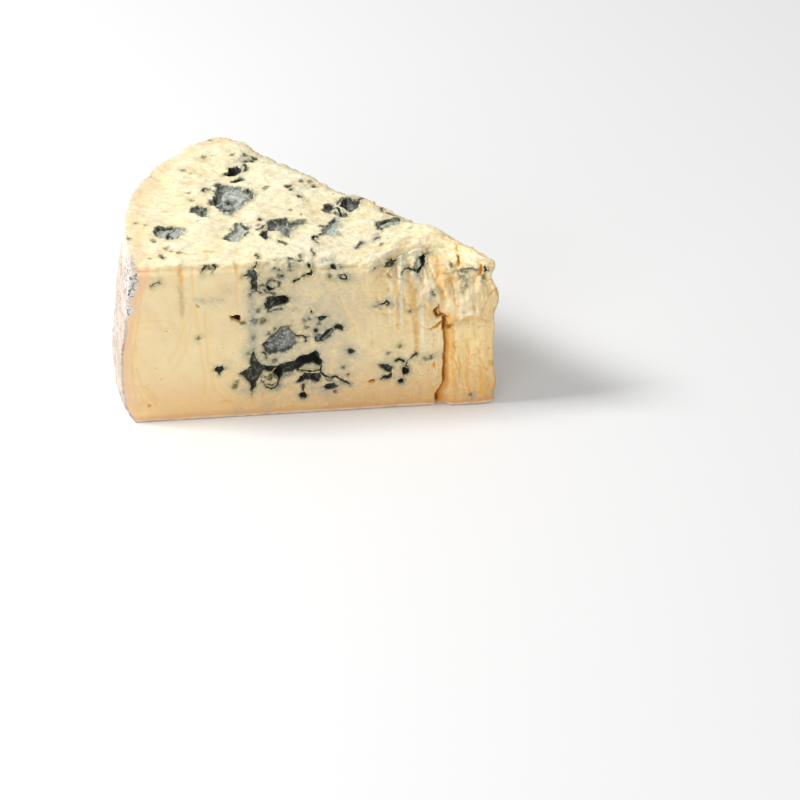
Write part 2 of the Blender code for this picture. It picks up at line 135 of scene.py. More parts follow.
# Hollows: depth, tone from 0 (black) to 1 (pale grey), tint from 0 (blue-grey) to 1 (olive), outline.
POCKETS = {LONG: [
    (1.5, 0.05, 0.7, [(36.6, 22.8), (37.6, 24.2), (40.4, 24.6), (40.5, 22.9), (38.4, 20.9)]),
    (2.6, 0.26, 0.4, [(51.2, 64.6), (51.7, 66.8), (53.6, 67.2), (55, 65.4), (54.7, 62), (54.8, 57.4),
     (53.6, 57.7), (52.4, 58.3), (52.3, 61.6), (52.6, 63)]),
    (4.6, 0.2, 0.4, [(57, 51.2), (58.2, 52.2), (58.4, 53.8), (60.4, 54.4), (65.4, 54.4), (66.8, 53.2),
     (66.6, 51.4), (65.6, 50.2), (62.4, 50), (60.6, 49.4), (59, 47.6), (57.8, 49.4)]),
    (2.6, 0.02, 0.3, [(57.9, 59.8), (59.2, 59), (60.3, 58), (61.6, 58.5), (62.2, 57.9), (60.2, 56.9),
     (59, 56.3), (58.2, 57.6)]),
    (1.6, 0.4, 0.3, [(56.2, 32.2), (57.2, 34), (60, 35.8), (62.2, 37.8), (63.6, 39.4), (66.6, 39.8),
     (66.3, 38.4), (68.2, 36.2), (68.6, 32.4), (66.9, 29.9), (64.8, 28.9), (62.2, 29.2), (59.6, 28.4),
     (57.2, 29.3)]),
    (5.5, 0.08, 0.4, [(59.6, 18.4), (61, 21.1), (63, 23), (66.3, 23.7), (68.8, 24.4), (70.3, 26.1),
     (73.1, 26.8), (75.9, 28), (76.9, 28.9), (78.1, 27.6), (78.8, 25.2), (79.8, 23.9), (79, 21.6),
     (78, 21.7), (75.6, 22.9), (73, 22.4), (70.4, 21), (68, 19.4), (64.4, 18.5), (63.2, 16.6), (62.4, 16),
     (61.6, 17.2)]),
    (3.4, 0.16, 0.3, [(69, 14.2), (70.7, 16.2), (72.4, 18.4), (75, 18.3), (78.4, 18.6), (79, 16.4),
     (77.9, 14.5), (76.4, 14.3), (74.9, 15.1), (72.9, 15.2), (71.4, 14.3)]),
    (2.4, 0.16, 0.6, [(50.3, 29.9), (51, 26.6), (52.4, 30.8), (53.1, 27.2), (55.2, 23.3), (58.4, 22.3),
     (61.9, 21.8), (59.7, 19.7), (56.2, 20.2), (54.4, 17.9), (53, 14.6), (52, 11), (50.7, 11.6),
     (50.6, 14.8), (48.7, 17.7), (46.1, 20), (48.8, 21.5), (50.9, 23.4)]),
    (1.6, 0.45, 0.35, [(76.7, 33.1), (80, 32.9), (82.6, 35), (84.2, 37.6), (83.4, 39.3), (81.2, 38.4),
     (79.6, 36.4), (77.4, 36.5), (76.6, 35)]),
    (2, 0.08, 0.3, [(84, 39.1), (85.2, 40.7), (86.8, 40.9), (88.3, 39.2), (87.8, 37.9), (85.4, 38.2)]),
    (1.8, 0.14, 0.3, [(77.2, 44.3), (79, 44.9), (82, 44.8), (81.2, 43.9), (79.7, 43.5), (78.8, 42),
     (78, 43.2)]),
    (1.8, 0.16, 0.1, [(79.6, 11.8), (81.2, 13.2), (84.2, 13.4), (85.6, 12.2), (83.8, 10.7), (81.2, 10.5)]),
    (2.2, 0.03, 0.3, [(70.3, 8.3), (71.2, 9.3), (72.6, 9.4), (73.7, 7.8), (72.8, 6.7), (71, 6.9)]),
    (2.2, 0.14, 0.3, [(101.2, 20.1), (104.6, 20.5), (107.1, 18.8), (106.2, 16.6), (104.9, 16.8),
     (102.9, 18.6)]),
    (2, 0.1, 0.3, [(102.1, 13.7), (102.8, 15.2), (105, 15.4), (106.4, 16.8), (106.7, 14.2), (105.2, 13.5)]),
    (2.6, 0.03, 0.3, [(110.6, 18.5), (111.7, 18.9), (113.5, 17), (112.8, 15.2), (111.2, 14.9),
     (110.7, 16.4)]),
    (1.8, 0.05, 0.4, [(108.7, 12.8), (110, 13.7), (111.4, 13.2), (111.2, 11), (109.8, 11.4)]),
    (6, -0.6, 0.1, [(118.1, 65.5), (120.4, 66.3), (121, 64.2), (120.8, 62.2), (119.4, 60.8), (118.5, 59),
     (117.2, 59.2), (117.8, 60.8), (119, 62), (118.7, 64)]),
    (1, 0.94, 1, [(117.8, 65.4), (118.6, 64), (118.6, 62), (117.4, 60.9), (115.4, 60.9), (116.2, 62.6)]),
    (1.2, 0.24, 0.9, [(104.2, 65.8), (104.8, 67.8), (107.1, 68.4), (109.4, 67.2), (108.2, 65.9),
     (106.7, 64.4), (105.2, 65.2)]),
], TOP: [
    (2.6, 0.66, 0.25, [(41.6, 65.4), (43.8, 66.4), (47.1, 65), (50.6, 62.9), (53.4, 60.2), (55.6, 61),
     (56.9, 58), (56.9, 53.7), (55.4, 50.2), (52.6, 48), (50.6, 44.6), (48.9, 41.8), (47.2, 38.8),
     (45.4, 40.2), (43.3, 43.4), (41.1, 47.3), (39.4, 50), (40.4, 52.8), (42.9, 55.4), (42.2, 59.6),
     (43.4, 62.2)]),
    (1.8, 0.4, 0.4, [(32, 45.9), (34.7, 46.4), (36.8, 45.7), (38.9, 45.2), (37.9, 41), (37.5, 37.9),
     (35.7, 37.6), (33.4, 39.4), (31.3, 41.4)]),
    (1.3, 0.68, 0.35, [(16.3, 26.8), (17.5, 30), (20.4, 31.3), (23.9, 31.6), (27.3, 29.9), (28.7, 27.6),
     (27.4, 24), (24.8, 21.9), (21.3, 21.1), (18.2, 22.6)]),
    (3.6, 0.06, 0.3, [(47.2, 75.2), (48.8, 77.4), (49.2, 80.2), (52.4, 80.2), (54, 77.2), (53.4, 74.6),
     (51.4, 72.8), (48.8, 73.2)]),
    (2, 0.3, 0.2, [(49.1, 67.8), (51, 69.8), (53.6, 70.9), (54.5, 69), (53.4, 67), (50.8, 66.8)]),
    (1.4, 0.82, 0.4, [(43.2, 21.8), (44.6, 23.6), (46.6, 25), (48.4, 27.6), (48.6, 31.2), (49.6, 33),
     (51.6, 30.6), (53.9, 27.6), (52.6, 23.6), (50.6, 20.4), (49, 18.2), (46.4, 17.6), (44, 19.6)]),
    (2.6, 0.52, 0.3, [(60.2, 24.2), (61.2, 28.2), (61.2, 31.8), (63.4, 34), (66.6, 34.2), (68.8, 35.2),
     (69.6, 33.2), (73, 34), (76.4, 34.2), (75.2, 31.2), (72.4, 30.2), (70.8, 27.6), (69.6, 24),
     (68.7, 20.4), (66.6, 21.8), (64.6, 24.2), (62.2, 24.6)]),
    (2.4, 0.3, 0.4, [(57.4, 21.4), (58.4, 24.2), (60.4, 25), (60.5, 22), (60.2, 18.4), (59.2, 17.8),
     (58.4, 19.8)]),
    (1.4, 0.98, 0.2, [(81.6, 24.4), (83.2, 27.2), (85.6, 30.4), (87.6, 34.2), (88.5, 36), (90, 33.2),
     (89.4, 30.2), (87.4, 26), (88, 21.6), (84.6, 20.8), (82.4, 22)]),
    (2.2, 0.03, 0.3, [(77, 19.4), (78.4, 20.8), (80.6, 20.4), (80.2, 19), (78.6, 18.9), (77.6, 17.4)]),
    (2.2, 0.46, 0.3, [(84.5, 41.9), (85.2, 45.6), (86.8, 46.9), (88.7, 45.8), (88.7, 43.2), (87.2, 40.4),
     (85.6, 41.1)]),
    (3.8, 0.24, 0.3, [(91.4, 44.2), (92.2, 48), (93.4, 50.9), (95.8, 50.2), (97, 47.6), (99.4, 46.4),
     (99, 43.6), (97.2, 41), (94.8, 40), (92.8, 42)]),
    (1.4, 0.68, 0.5, [(88.4, 39.8), (89.6, 41), (91.4, 38.6), (94.4, 39.2), (93.8, 36.4), (91.4, 36.2),
     (89.4, 37.4)]),
    (1.4, 0.78, 0.6, [(103.6, 29.8), (106.8, 30.6), (109.6, 32.2), (112.2, 34.2), (114.4, 34),
     (114.2, 29.4), (112.8, 26.6), (109.8, 26.2), (107.2, 24.6), (105.2, 23.2), (103.5, 23.8),
     (103.3, 26.8)]),
], FAR: [
    (3, 0.1, 0.3, [(41, 46.5), (43.4, 49.4), (47.2, 50.4), (49, 48.6), (46.4, 46.2), (43, 45.4)]),
    (3.4, 0.3, 0.3, [(54, 26.6), (57.4, 27.2), (61, 25.2), (66.4, 22.6), (64.6, 20.8), (59.8, 22),
     (56, 24.2)]),
    (3, 0.42, 0.3, [(67.8, 37.2), (69.6, 40.4), (73.2, 43.4), (76.4, 43.8), (75.6, 39.8), (72.2, 36.8)]),
    (2.4, 0.06, 0.4, [(84.6, 17.8), (86.4, 21), (90, 20.6), (91.6, 17.4), (88.4, 14.6), (85.8, 15.2)]),
    (2.8, 0.12, 0.4, [(92.2, 49), (92.6, 55), (94.6, 57.6), (96.2, 53.8), (95.4, 49.2)]),
    (2.2, 0.55, 0.5, [(100, 32.4), (103.4, 33), (107.6, 30), (108.2, 27.8), (104.6, 28), (101.2, 30)]),
    (1.8, 0.08, 0.6, [(26, 18), (28.6, 20.2), (30.4, 18.4), (28.8, 15.8)]),
]}

# The same, but along a line: depth, tone, tint, and (place, place, width) along it.
VEINS = {LONG: [
    (0.9, 0.03, 0.3, [(66.6, 38.9, 0.6), (67.8, 37.2, 0.7), (69.3, 35.9, 0.9), (71.3, 35.9, 0.7),
     (73.2, 35, 0.9), (74.2, 35.6, 0.5)]),
    (0.8, 0.05, 0.4, [(73.2, 34.9, 0.8), (73, 33.3, 0.7)]),
    (0.6, 0.05, 0.5, [(56.2, 32.2, 0.4), (59.2, 35.4, 0.5), (62.4, 38, 0.5), (63.8, 39.8, 0.6),
     (66.8, 40.2, 0.6)]),
    (0.6, 0.16, 0, [(68.4, 36.4, 0.5), (68.9, 33, 0.5), (67, 30, 0.5), (64.6, 28.9, 0.5), (62, 29.2, 0.8),
     (59.2, 28.2, 0.6), (56.8, 29.2, 0.6)]),
    (0.9, 0.1, 0.9, [(56.2, 28.8, 0.8), (57.4, 27.8, 1), (57.4, 25.8, 0.3)]),
    (2.4, 0, 0.3, [(78.9, 33.6, 0.7), (80.4, 35.2, 1.3), (82.2, 37.1, 1.2), (83.2, 38.2, 0.5)]),
    (1.4, 0.02, 0.3, [(79, 21.4, 0.9), (78.9, 18.6, 1.1), (80.5, 16.9, 0.9), (82.7, 16, 0.8),
     (84.8, 16.3, 1.1), (86.3, 15.2, 0.8), (88.4, 13.8, 0.9), (90.4, 12, 0.6)]),
    (1, 0.1, 0.3, [(80.6, 15.6, 0.6), (82, 14.8, 0.7), (83.4, 15.2, 0.5)]),
    (1.6, 0.03, 1, [(69.8, 20, 1), (72.5, 19.3, 0.9), (75.6, 19.1, 0.7), (78.2, 19.6, 0.9)]),
    (0.9, 0.14, 0.9, [(54.8, 18.2, 0.3), (55.1, 16.1, 0.4), (56.3, 14.2, 0.5), (57.4, 12.4, 0.7),
     (59, 11.4, 0.9), (60.8, 12, 0.8), (61.8, 13.6, 1.1), (62.2, 15.8, 1.3)]),
    (0.6, 0.2, 0.9, [(56.8, 17.2, 0.4), (58.4, 17.7, 0.4), (59.4, 16.9, 0.6), (58.6, 15.8, 0.7),
     (57.4, 15.8, 0.3)]),
    (0.6, 0.14, 0.8, [(58.6, 18.2, 0.4), (60, 17.4, 0.5), (61.4, 16.4, 0.5)]),
    (0.5, 0.2, 0.9, [(58, 13.6, 0.4), (59.4, 13, 0.6), (60.2, 14, 0.4)]),
    (0.5, 0.6, 0.1, [(61.4, 11.4, 0.4), (62.9, 13.6, 0.5), (63.4, 16, 0.5), (64.9, 17.7, 0.5),
     (68, 18.4, 0.4)]),
    (0.9, 0.12, 0.5, [(50.8, 13.6, 0.7), (51.3, 12.6, 0.9), (50.8, 11.6, 0.6), (51.5, 10.4, 0.6),
     (50.8, 9.2, 0.4)]),
    (2.2, 0.02, 1, [(53.6, 67.4, 0.6), (54.3, 68.6, 0.6), (55.2, 70.3, 0.5), (55.6, 72, 0.5),
     (55, 73.2, 0.6)]),
    (0.7, 0.55, 0.2, [(53.1, 65.6, 0.4), (51.8, 63.6, 0.4)]),
    (0.9, 0.22, 0.1, [(52.7, 56.6, 0.8), (54.6, 57.2, 0.6), (56.4, 55.8, 0.9)]),
    (0.8, 0.05, 0.5, [(49.6, 64.2, 0.6), (51.2, 64.9, 0.7)]),
    (0.7, 0.14, 0.6, [(58.6, 60.2, 0.4), (59.8, 61.6, 0.7), (61.8, 61.1, 0.5), (63, 60.1, 0.7),
     (62.4, 58.5, 0.5)]),
    (0.6, 0.12, 0.5, [(55.9, 59.3, 0.4), (57.9, 59.7, 0.6), (58.6, 58.9, 0.5)]),
    (0.6, 0.22, 0.5, [(57.2, 57.4, 0.5), (58, 55.9, 0.6), (60, 55.9, 0.4)]),
    (0.6, 0.2, 0.7, [(57.4, 49.6, 0.3), (58.9, 47.4, 0.5), (61.6, 48.2, 0.5), (63.6, 48.5, 0.7)]),
    (2.4, 0, 1, [(74, 71.4, 0.5), (74.9, 69.6, 1.3), (75.2, 67.6, 0.4), (75.5, 65.4, 1), (75.2, 64.8, 1.5),
     (73.4, 63.8, 0.6), (71.2, 62.8, 0.5)]),
    (1, 0.14, 1, [(71.2, 62.8, 0.4), (70, 61.3, 0.9), (68.6, 60.8, 1.3)]),
    (0.6, 0.36, 0.5, [(67.2, 69.4, 0.7), (67.4, 68.2, 0.6), (66.9, 67, 0.6)]),
    (1.2, 0.06, 0.1, [(84.6, 71.8, 0.4), (83.9, 70.4, 1.2), (84.2, 68.6, 2), (85.2, 67.6, 0.8)]),
    (1.2, 0.04, 0.1, [(86.2, 64, 0.7), (88.2, 64.3, 0.8), (89.4, 63, 0.8), (88.9, 61.4, 0.9),
     (87.2, 61.6, 0.8), (86.6, 63, 0.8)]),
    (0.9, 0.08, 0.5, [(66.8, 70.6, 0.6), (67.5, 71.4, 0.6), (68.3, 70.2, 0.5)]),
    (0.7, 0.2, 0.5, [(56.7, 71.9, 0.5), (58.3, 71, 1), (59.3, 71.5, 0.5)]),
    (1, 0.06, 1, [(33.6, 67.6, 0.3), (34.6, 69.7, 1.1), (35.6, 71.2, 0.9), (36.6, 72, 0.6), (38, 71.2, 0.9),
     (39.2, 69.8, 1), (38.9, 68.4, 0.5), (37.4, 67.3, 0.3)]),
    (0.5, 0.3, 1, [(36.6, 71.4, 0.4), (36.4, 69.8, 0.6), (37.2, 69.2, 0.3)]),
    (0.8, 0.1, 1, [(14.3, 62.6, 0.3), (15.8, 63.4, 0.7), (17.2, 63.7, 0.4)]),
    (1.2, 0.02, 0.6, [(107.9, 21.6, 0.7), (109.6, 22.2, 1.3), (111.4, 21.2, 0.9)]),
    (0.8, 0.05, 0.7, [(113.2, 17.6, 0.6), (112.2, 19.6, 0.5), (113.2, 21.8, 0.4), (114.8, 23.4, 0.6),
     (116.2, 24.6, 1.4)]),
    (1, 0.08, 0.3, [(100.2, 47.6, 0.5), (102.6, 48.2, 0.6), (104.2, 48.6, 1.1), (105.2, 49.7, 0.9),
     (106.2, 48.6, 0.7), (105.2, 48, 0.6)]),
    (2, 0, 1, [(120.2, 66, 0.8), (121.2, 66.6, 0.5), (122.4, 66.6, 0.2)]),
    (1.6, 0.02, 0.8, [(111.4, 60.8, 0.4), (112.6, 61.6, 0.9), (114.6, 60.9, 0.6), (116.2, 60.5, 1),
     (117.6, 60, 0.8)]),
    (1, 0.1, 0.9, [(71.9, 13, 0.9), (72.1, 11.2, 0.8), (72.2, 9.6, 0.5)]),
    (0.5, 0.34, 0.4, [(133.3, 58, 0.4), (134.6, 58.4, 1), (136.4, 58.8, 0.9), (138.4, 59.6, 1.1),
     (140.6, 59.6, 0.9)]),
    (0.2, 0.6, 0.7, [(134, 56.4, 0.5), (135.6, 55.4, 1), (136, 53.4, 0.9), (134.6, 51.6, 0.5)]),
    (0.9, 0.12, 0.8, [(143.3, 61.9, 0.5), (144.2, 61, 0.8), (143.9, 59.2, 0.9)]),
    (0.9, 0.06, 0.6, [(144, 59.8, 0.5), (145.4, 60.4, 0.5)]),
], TOP: [
    (0.6, 0.14, 0.6, [(37.4, 59, 0.7), (37.9, 61.4, 1.2), (39.8, 61.2, 0.6)]),
    (0.7, 0.16, 0.7, [(41.6, 60, 0.6), (42.8, 58.4, 0.9), (42.2, 56.4, 0.8)]),
    (1.4, 0.02, 0.4, [(41.4, 54.4, 1), (41.8, 53.2, 0.8)]),
    (0.5, 0.22, 0.6, [(39.8, 52.6, 0.4), (39.4, 50, 0.6), (40, 47.8, 0.7)]),
    (0.7, 0.14, 0.6, [(55.2, 60.8, 0.6), (56.4, 58, 1.1), (56.9, 55.2, 0.9), (56.3, 52.4, 0.9),
     (55.2, 50.4, 0.6)]),
    (1.1, 0.2, 0.4, [(45.8, 53.6, 0.6), (46.8, 52.4, 1.2), (48.6, 53.8, 0.9)]),
    (1.1, 0.2, 0.5, [(43.6, 49.4, 0.5), (45.4, 47.8, 1.2), (46.6, 46.2, 1.2), (48.2, 49, 0.5)]),
    (0.5, 0.2, 0.5, [(43.8, 63.6, 0.8), (44, 61.4, 0.7), (44.6, 59, 0.5)]),
    (0.7, 0.15, 0.4, [(33.6, 44.8, 0.5), (34.4, 41.6, 0.6), (34.6, 39, 1.2)]),
    (0.6, 0.2, 0.4, [(35.8, 45.6, 0.5), (36, 42.6, 0.8), (36.6, 38.6, 0.7)]),
    (0.7, 0.14, 1, [(17.2, 29.2, 0.9), (18.6, 30.6, 1.6), (20.4, 30.2, 0.9), (23.4, 31.2, 0.5)]),
    (0.9, 0, 0.4, [(20.8, 22.2, 0.4), (21.5, 24.6, 0.9), (22.4, 27.2, 0.7), (24.5, 30.1, 0.6)]),
    (0.9, 0, 0.4, [(21.9, 26.5, 0.5), (23.5, 23.5, 0.9), (25.5, 21.9, 0.5)]),
    (0.8, 0, 0.3, [(26.2, 27.8, 0.4), (26, 25.6, 0.8), (25.4, 23.4, 0.4)]),
    (0.5, 0.18, 0.3, [(16.6, 27.4, 0.6), (16.9, 24.8, 0.6), (18.8, 22.4, 0.4)]),
    (0.7, 0.18, 0.4, [(55.8, 80.4, 0.8), (56.2, 78.4, 1.2), (55.6, 76, 0.7)]),
    (0.6, 0.16, 0.8, [(56.6, 89.8, 0.7), (56.6, 88.6, 1.1), (56.8, 87.4, 0.5)]),
    (0.7, 0.14, 0.5, [(53.4, 70.9, 1), (54.1, 69.2, 1), (53.4, 67.6, 0.5)]),
    (0.7, 0.15, 0.4, [(50.8, 31.4, 0.5), (52.4, 28.4, 0.7), (53.6, 27, 0.7), (52.4, 24.4, 1.4)]),
    (0.7, 0.16, 0.7, [(43.6, 22, 0.8), (45, 22.8, 0.5), (46.6, 20.6, 0.6)]),
    (0.6, 0.18, 0.5, [(46.2, 19.4, 0.5), (48.8, 18.6, 1.1), (49.8, 20.2, 0.5)]),
    (0.7, 0.16, 0.5, [(56.6, 25, 0.8), (58.6, 26.2, 0.9), (60.4, 29, 0.7)]),
    (1, 0.15, 0.4, [(61, 25, 0.8), (63.6, 25.4, 1.4), (66.2, 24, 1.5), (67.4, 23, 1.4)]),
    (0.7, 0.16, 0.4, [(61.4, 31.6, 0.6), (61.6, 28.6, 0.6), (61.4, 26.4, 0.8)]),
    (0.7, 0.18, 0.6, [(62.2, 33.6, 0.5), (66.4, 34.2, 0.7), (68.6, 34.4, 1.3), (69.2, 36.4, 0.5)]),
    (1.4, 0.03, 0.5, [(57.6, 21.6, 1), (59.4, 22.2, 1.4), (60.4, 24, 0.6)]),
    (0.7, 0.18, 0.5, [(76.4, 33.8, 0.6), (75.8, 32.2, 1.1), (75.2, 31.2, 0.9)]),
    (0.7, 0.16, 0.5, [(81.8, 29.4, 0.9), (82.8, 28, 0.8), (84.6, 29, 0.5)]),
    (0.7, 0.18, 0.4, [(85.6, 30.8, 0.7), (87.2, 33, 0.7), (88.4, 35.6, 0.5)]),
    (0.7, 0.14, 0.4, [(82.2, 22.6, 1), (80.6, 21, 0.8)]),
    (0.5, 0.2, 0.7, [(77.5, 18, 0.7), (78, 15.8, 0.7), (78.8, 14.6, 0.6)]),
    (0.7, 0.16, 0.5, [(85.4, 45.8, 0.9), (87, 46.6, 1), (88.6, 45.4, 0.6)]),
    (2.4, 0, 0.3, [(88.6, 43.2, 0.8), (90.2, 43.4, 1.3), (91, 41.6, 1), (91, 38.6, 1)]),
    (0.7, 0.18, 0.4, [(90.4, 46.2, 0.6), (91.8, 49, 0.8), (92.9, 51, 0.5)]),
    (0.7, 0.2, 0.6, [(97.2, 45.6, 0.8), (99, 46.6, 1.1), (99.8, 48.6, 1), (100.8, 48.4, 0.4)]),
    (0.6, 0.2, 0.7, [(103.9, 29, 0.7), (105.2, 26, 1), (107.2, 24.6, 0.8)]),
    (0.6, 0.2, 0.7, [(105, 29.2, 0.9), (107.4, 30.4, 1.1), (110.6, 31.6, 0.8), (113.4, 33.4, 1.2)]),
    (0.5, 0.22, 0.6, [(110.6, 27, 0.7), (112.6, 27.2, 1), (113.8, 29, 0.7)]),
    (0.5, 0.26, 1, [(107.2, 41, 0.8), (107.2, 38.4, 0.8)]),
    (0.5, 0.3, 0.4, [(109.2, 37.6, 0.9), (111.8, 36.2, 1.1)]),
    (0.6, 0.2, 0.3, [(93.6, 11.6, 0.5), (95, 13.8, 0.9), (96.3, 16.2, 0.8)]),
    (0.5, 0.26, 0.2, [(102.2, 17.8, 0.8), (103.4, 18.2, 0.9)]),
    (0.5, 0.2, 1, [(64.2, 16.9, 1.1), (65.6, 15.8, 1.2), (66.8, 13.4, 0.7)]),
    (0.5, 0.18, 0.4, [(18.3, 8.6, 0.5), (19.2, 6.4, 0.8)]),
    (0.5, 0.2, 0.7, [(55.2, 6, 0.8), (55.8, 3.6, 0.5)]),
    (0.5, 0.24, 0.7, [(76.2, 9.8, 0.8), (76.8, 6.2, 0.5)]),
    (0.4, 0.35, 0.9, [(15.4, 20.2, 0.8), (16.4, 19, 1)]),
], FAR: [
    (1.4, 0.05, 0.4, [(52, 22, 0.6), (58, 24.4, 1.6), (66, 23, 1), (72, 26, 0.5)]),
    (1, 0.08, 0.5, [(86, 16, 0.5), (90, 20, 1.2), (95, 21, 0.6)]),
    (1.1, 0.06, 0.3, [(28, 40, 0.5), (31, 36, 1.1), (30, 30, 0.7)]),
    (1, 0.1, 0.8, [(109, 58, 0.5), (111, 52, 1.2), (110, 47, 0.5)]),
    (1.2, 0.05, 0.3, [(76, 60, 0.6), (80, 57, 1.2), (83, 59, 0.7)]),
]}

# The same, but round: depth, tone, tint, and (place, place, radius) of each.
SPOTS = {LONG: [
    (0.8, 0.1, 0.3, [(90.9, 27.7, 1.2), (61.2, 66.5, 0.55), (64, 63, 0.6), (75, 47, 0.6), (77, 38, 0.9),
     (89.6, 17, 0.5), (63.8, 65.7, 0.35), (100.4, 65.7, 0.5), (123.2, 51.6, 0.4), (123.3, 50.4, 0.3)]),
    (0.3, 0.42, 0.3, [(60.6, 24.4, 0.9), (53.2, 43.6, 1.1), (52.6, 36, 0.6), (54.9, 48.2, 0.6),
     (58.9, 37.3, 0.5), (88, 20.3, 0.5), (113.9, 43.8, 0.6), (78.4, 41.4, 0.6), (72.6, 42.8, 0.7),
     (74.2, 43.6, 0.6), (66.8, 67.4, 0.4), (52.2, 55.6, 0.5), (105.4, 25.4, 0.5), (138, 5, 0.4),
     (131, 60.8, 0.7), (62.8, 66, 0.5), (63, 62.9, 0.7)]),
    (0.3, 0.4, 1, [(56.8, 43.4, 1), (56, 42.4, 0.5), (49, 43, 0.7), (73.4, 40, 0.5), (61.3, 39.3, 0.4),
     (44.6, 14.4, 0.8), (45.2, 16.2, 0.4), (66.9, 65.6, 0.4), (31.4, 38.2, 0.4), (84.6, 9.6, 0.5),
     (109.6, 28.2, 0.4), (120, 21.6, 0.5), (122.4, 22.8, 0.7), (87.3, 68.4, 0.5), (82.6, 63.6, 0.6),
     (143.8, 56.6, 0.4), (143.7, 55, 0.4), (61, 55.4, 0.6)]),
], TOP: [
    (0.5, 0.18, 0.5, [(71.2, 60.9, 0.8), (72.2, 60.8, 0.9), (72.4, 58.6, 0.7), (75.4, 53.4, 0.9),
     (76.6, 52.6, 0.5), (58.8, 34.6, 0.7), (128.7, 22, 0.8), (120.2, 28.6, 0.9), (118.2, 28.8, 0.5),
     (47.4, 75.2, 0.9), (59.2, 83.8, 0.9), (56.6, 83.2, 1), (60.4, 86, 1.2), (103.6, 13.2, 0.5),
     (82, 61.2, 0.9), (77, 64.6, 0.6), (67.6, 2.8, 0.6), (71.4, 4.6, 0.5), (71.3, 2.2, 0.5)]),
    (0.2, 0.5, 1, [(62.4, 61.6, 1), (20.4, 13.5, 0.6), (22.4, 10.8, 0.4), (10, 34, 0.5), (13.4, 32.2, 0.7),
     (14.4, 6.8, 0.5), (25.6, 9.8, 0.6), (30.4, 77.3, 0.8), (39.6, 88.2, 0.8), (43.2, 104.8, 0.7),
     (47, 27, 0.8), (57.4, 28.6, 0.6), (33.4, 34.4, 0.4), (80.8, 64.8, 0.7), (71, 42.6, 0.4),
     (116.8, 20, 0.4), (51.6, 89.2, 0.6), (32.4, 52.6, 0.5), (31.2, 58, 0.5), (7, 22, 0.5)]),
], FAR: [
    (0.8, 0.08, 0.4, [(36, 55, 0.9), (40, 28, 1.1), (50, 12, 0.8), (62, 50, 1), (82, 34, 0.7),
     (98, 12, 0.8), (116, 38, 0.9), (120, 20, 0.6), (20, 46, 0.7), (56, 40, 0.7), (88, 45, 0.6),
     (104, 62, 0.9)]),
]}

# Bare openings in the paste: depth, and (place, place, width) along each.
SLITS = {LONG: [
    (3.4, [(43.7, 46.4, 0.3), (45.2, 45.3, 1.7), (46.4, 45.2, 3), (47.3, 44, 1.6), (48, 43.4, 0.3)]),
    (1.4, [(97.4, 12.9, 0.2), (98.3, 12.7, 1.5), (99.3, 12.8, 1.9), (100.3, 13.3, 0.3)]),
    (0.9, [(30.6, 53, 0.4), (31.8, 51.8, 0.9), (32.4, 52.3, 0.4)]),
    (1.2, [(106.6, 62.8, 0.4), (105.5, 61.3, 0.8), (106.2, 59.6, 0.9), (107.4, 59, 0.4)]),
    (0.6, [(109, 38.3, 0.9), (109.1, 37.9, 0.7)]),
    (0.5, [(105, 53.9, 0.3), (106.2, 54.6, 0.5)]),
    (1.4, [(132.8, 67.6, 0.3), (133.9, 65.8, 0.9), (134.2, 63.6, 1), (133.7, 61.8, 1.3),
     (133.8, 59.8, 0.5)]),
    (0.8, [(133.3, 57.8, 0.5), (133.7, 56.8, 0.6)]),
    (1, [(141.8, 63.2, 0.6), (142.2, 60.6, 1.4), (142.3, 58, 1.8), (141.2, 56.6, 1.2)]),
    (0.9, [(123.8, 20.8, 0.3), (123.5, 18.6, 0.9), (123.9, 16.6, 0.3)]),
    (0.6, [(133.4, 24, 0.3), (133.9, 18, 0.7), (133.2, 12, 0.3)]),
    (0.5, [(143.6, 53, 0.3), (144, 50.6, 0.5), (143.4, 48, 0.3)]),
    (2, [(125.4, 46.6, 0.4), (125, 44.4, 1.2), (123.9, 42.4, 1.7), (124.9, 40.9, 1.4), (127.2, 41.4, 1.6),
     (128.7, 40.6, 0.9)]),
    (2.4, [(127.9, 40.4, 1), (127.7, 38.6, 1.9), (127.4, 36.6, 1.8), (127.4, 34.6, 1.2)]),
    (1.3, [(122, 35.4, 0.5), (124.4, 36.6, 1.2), (126.4, 38.4, 1.5)]),
    (1.5, [(127.6, 36, 1.8), (129.6, 35.8, 1.7), (131.6, 37.2, 0.6)]),
    (0.6, [(11, 8.4, 0.6), (11.4, 7.2, 1.3)]),
    (0.4, [(19, 43.4, 0.4), (19.6, 43.2, 0.5)]),
    (0.4, [(18.8, 41.9, 0.6), (19.2, 41.8, 0.8)]),
    (0.4, [(16.2, 19.7, 0.5), (17, 19.6, 0.5)]),
    (0.4, [(14.4, 24.7, 0.4), (15, 24.6, 0.5)]),
    (0.4, [(38.6, 7.4, 0.2), (40.8, 7.8, 0.6), (42.8, 6.8, 0.2)]),
    (0.5, [(48.9, 64.4, 0.8), (49, 63.6, 0.7)]),
], TOP: [
    (0.5, [(28.2, 9.2, 0.5), (29.6, 8.4, 0.7)]),
    (0.5, [(35.4, 10.4, 0.5), (37.8, 9.8, 0.8)]),
    (0.6, [(33.6, 75.8, 0.4), (33.8, 74.6, 0.7)]),
    (0.9, [(133.6, 8.4, 0.4), (133.4, 3, 0.9)]),
]}

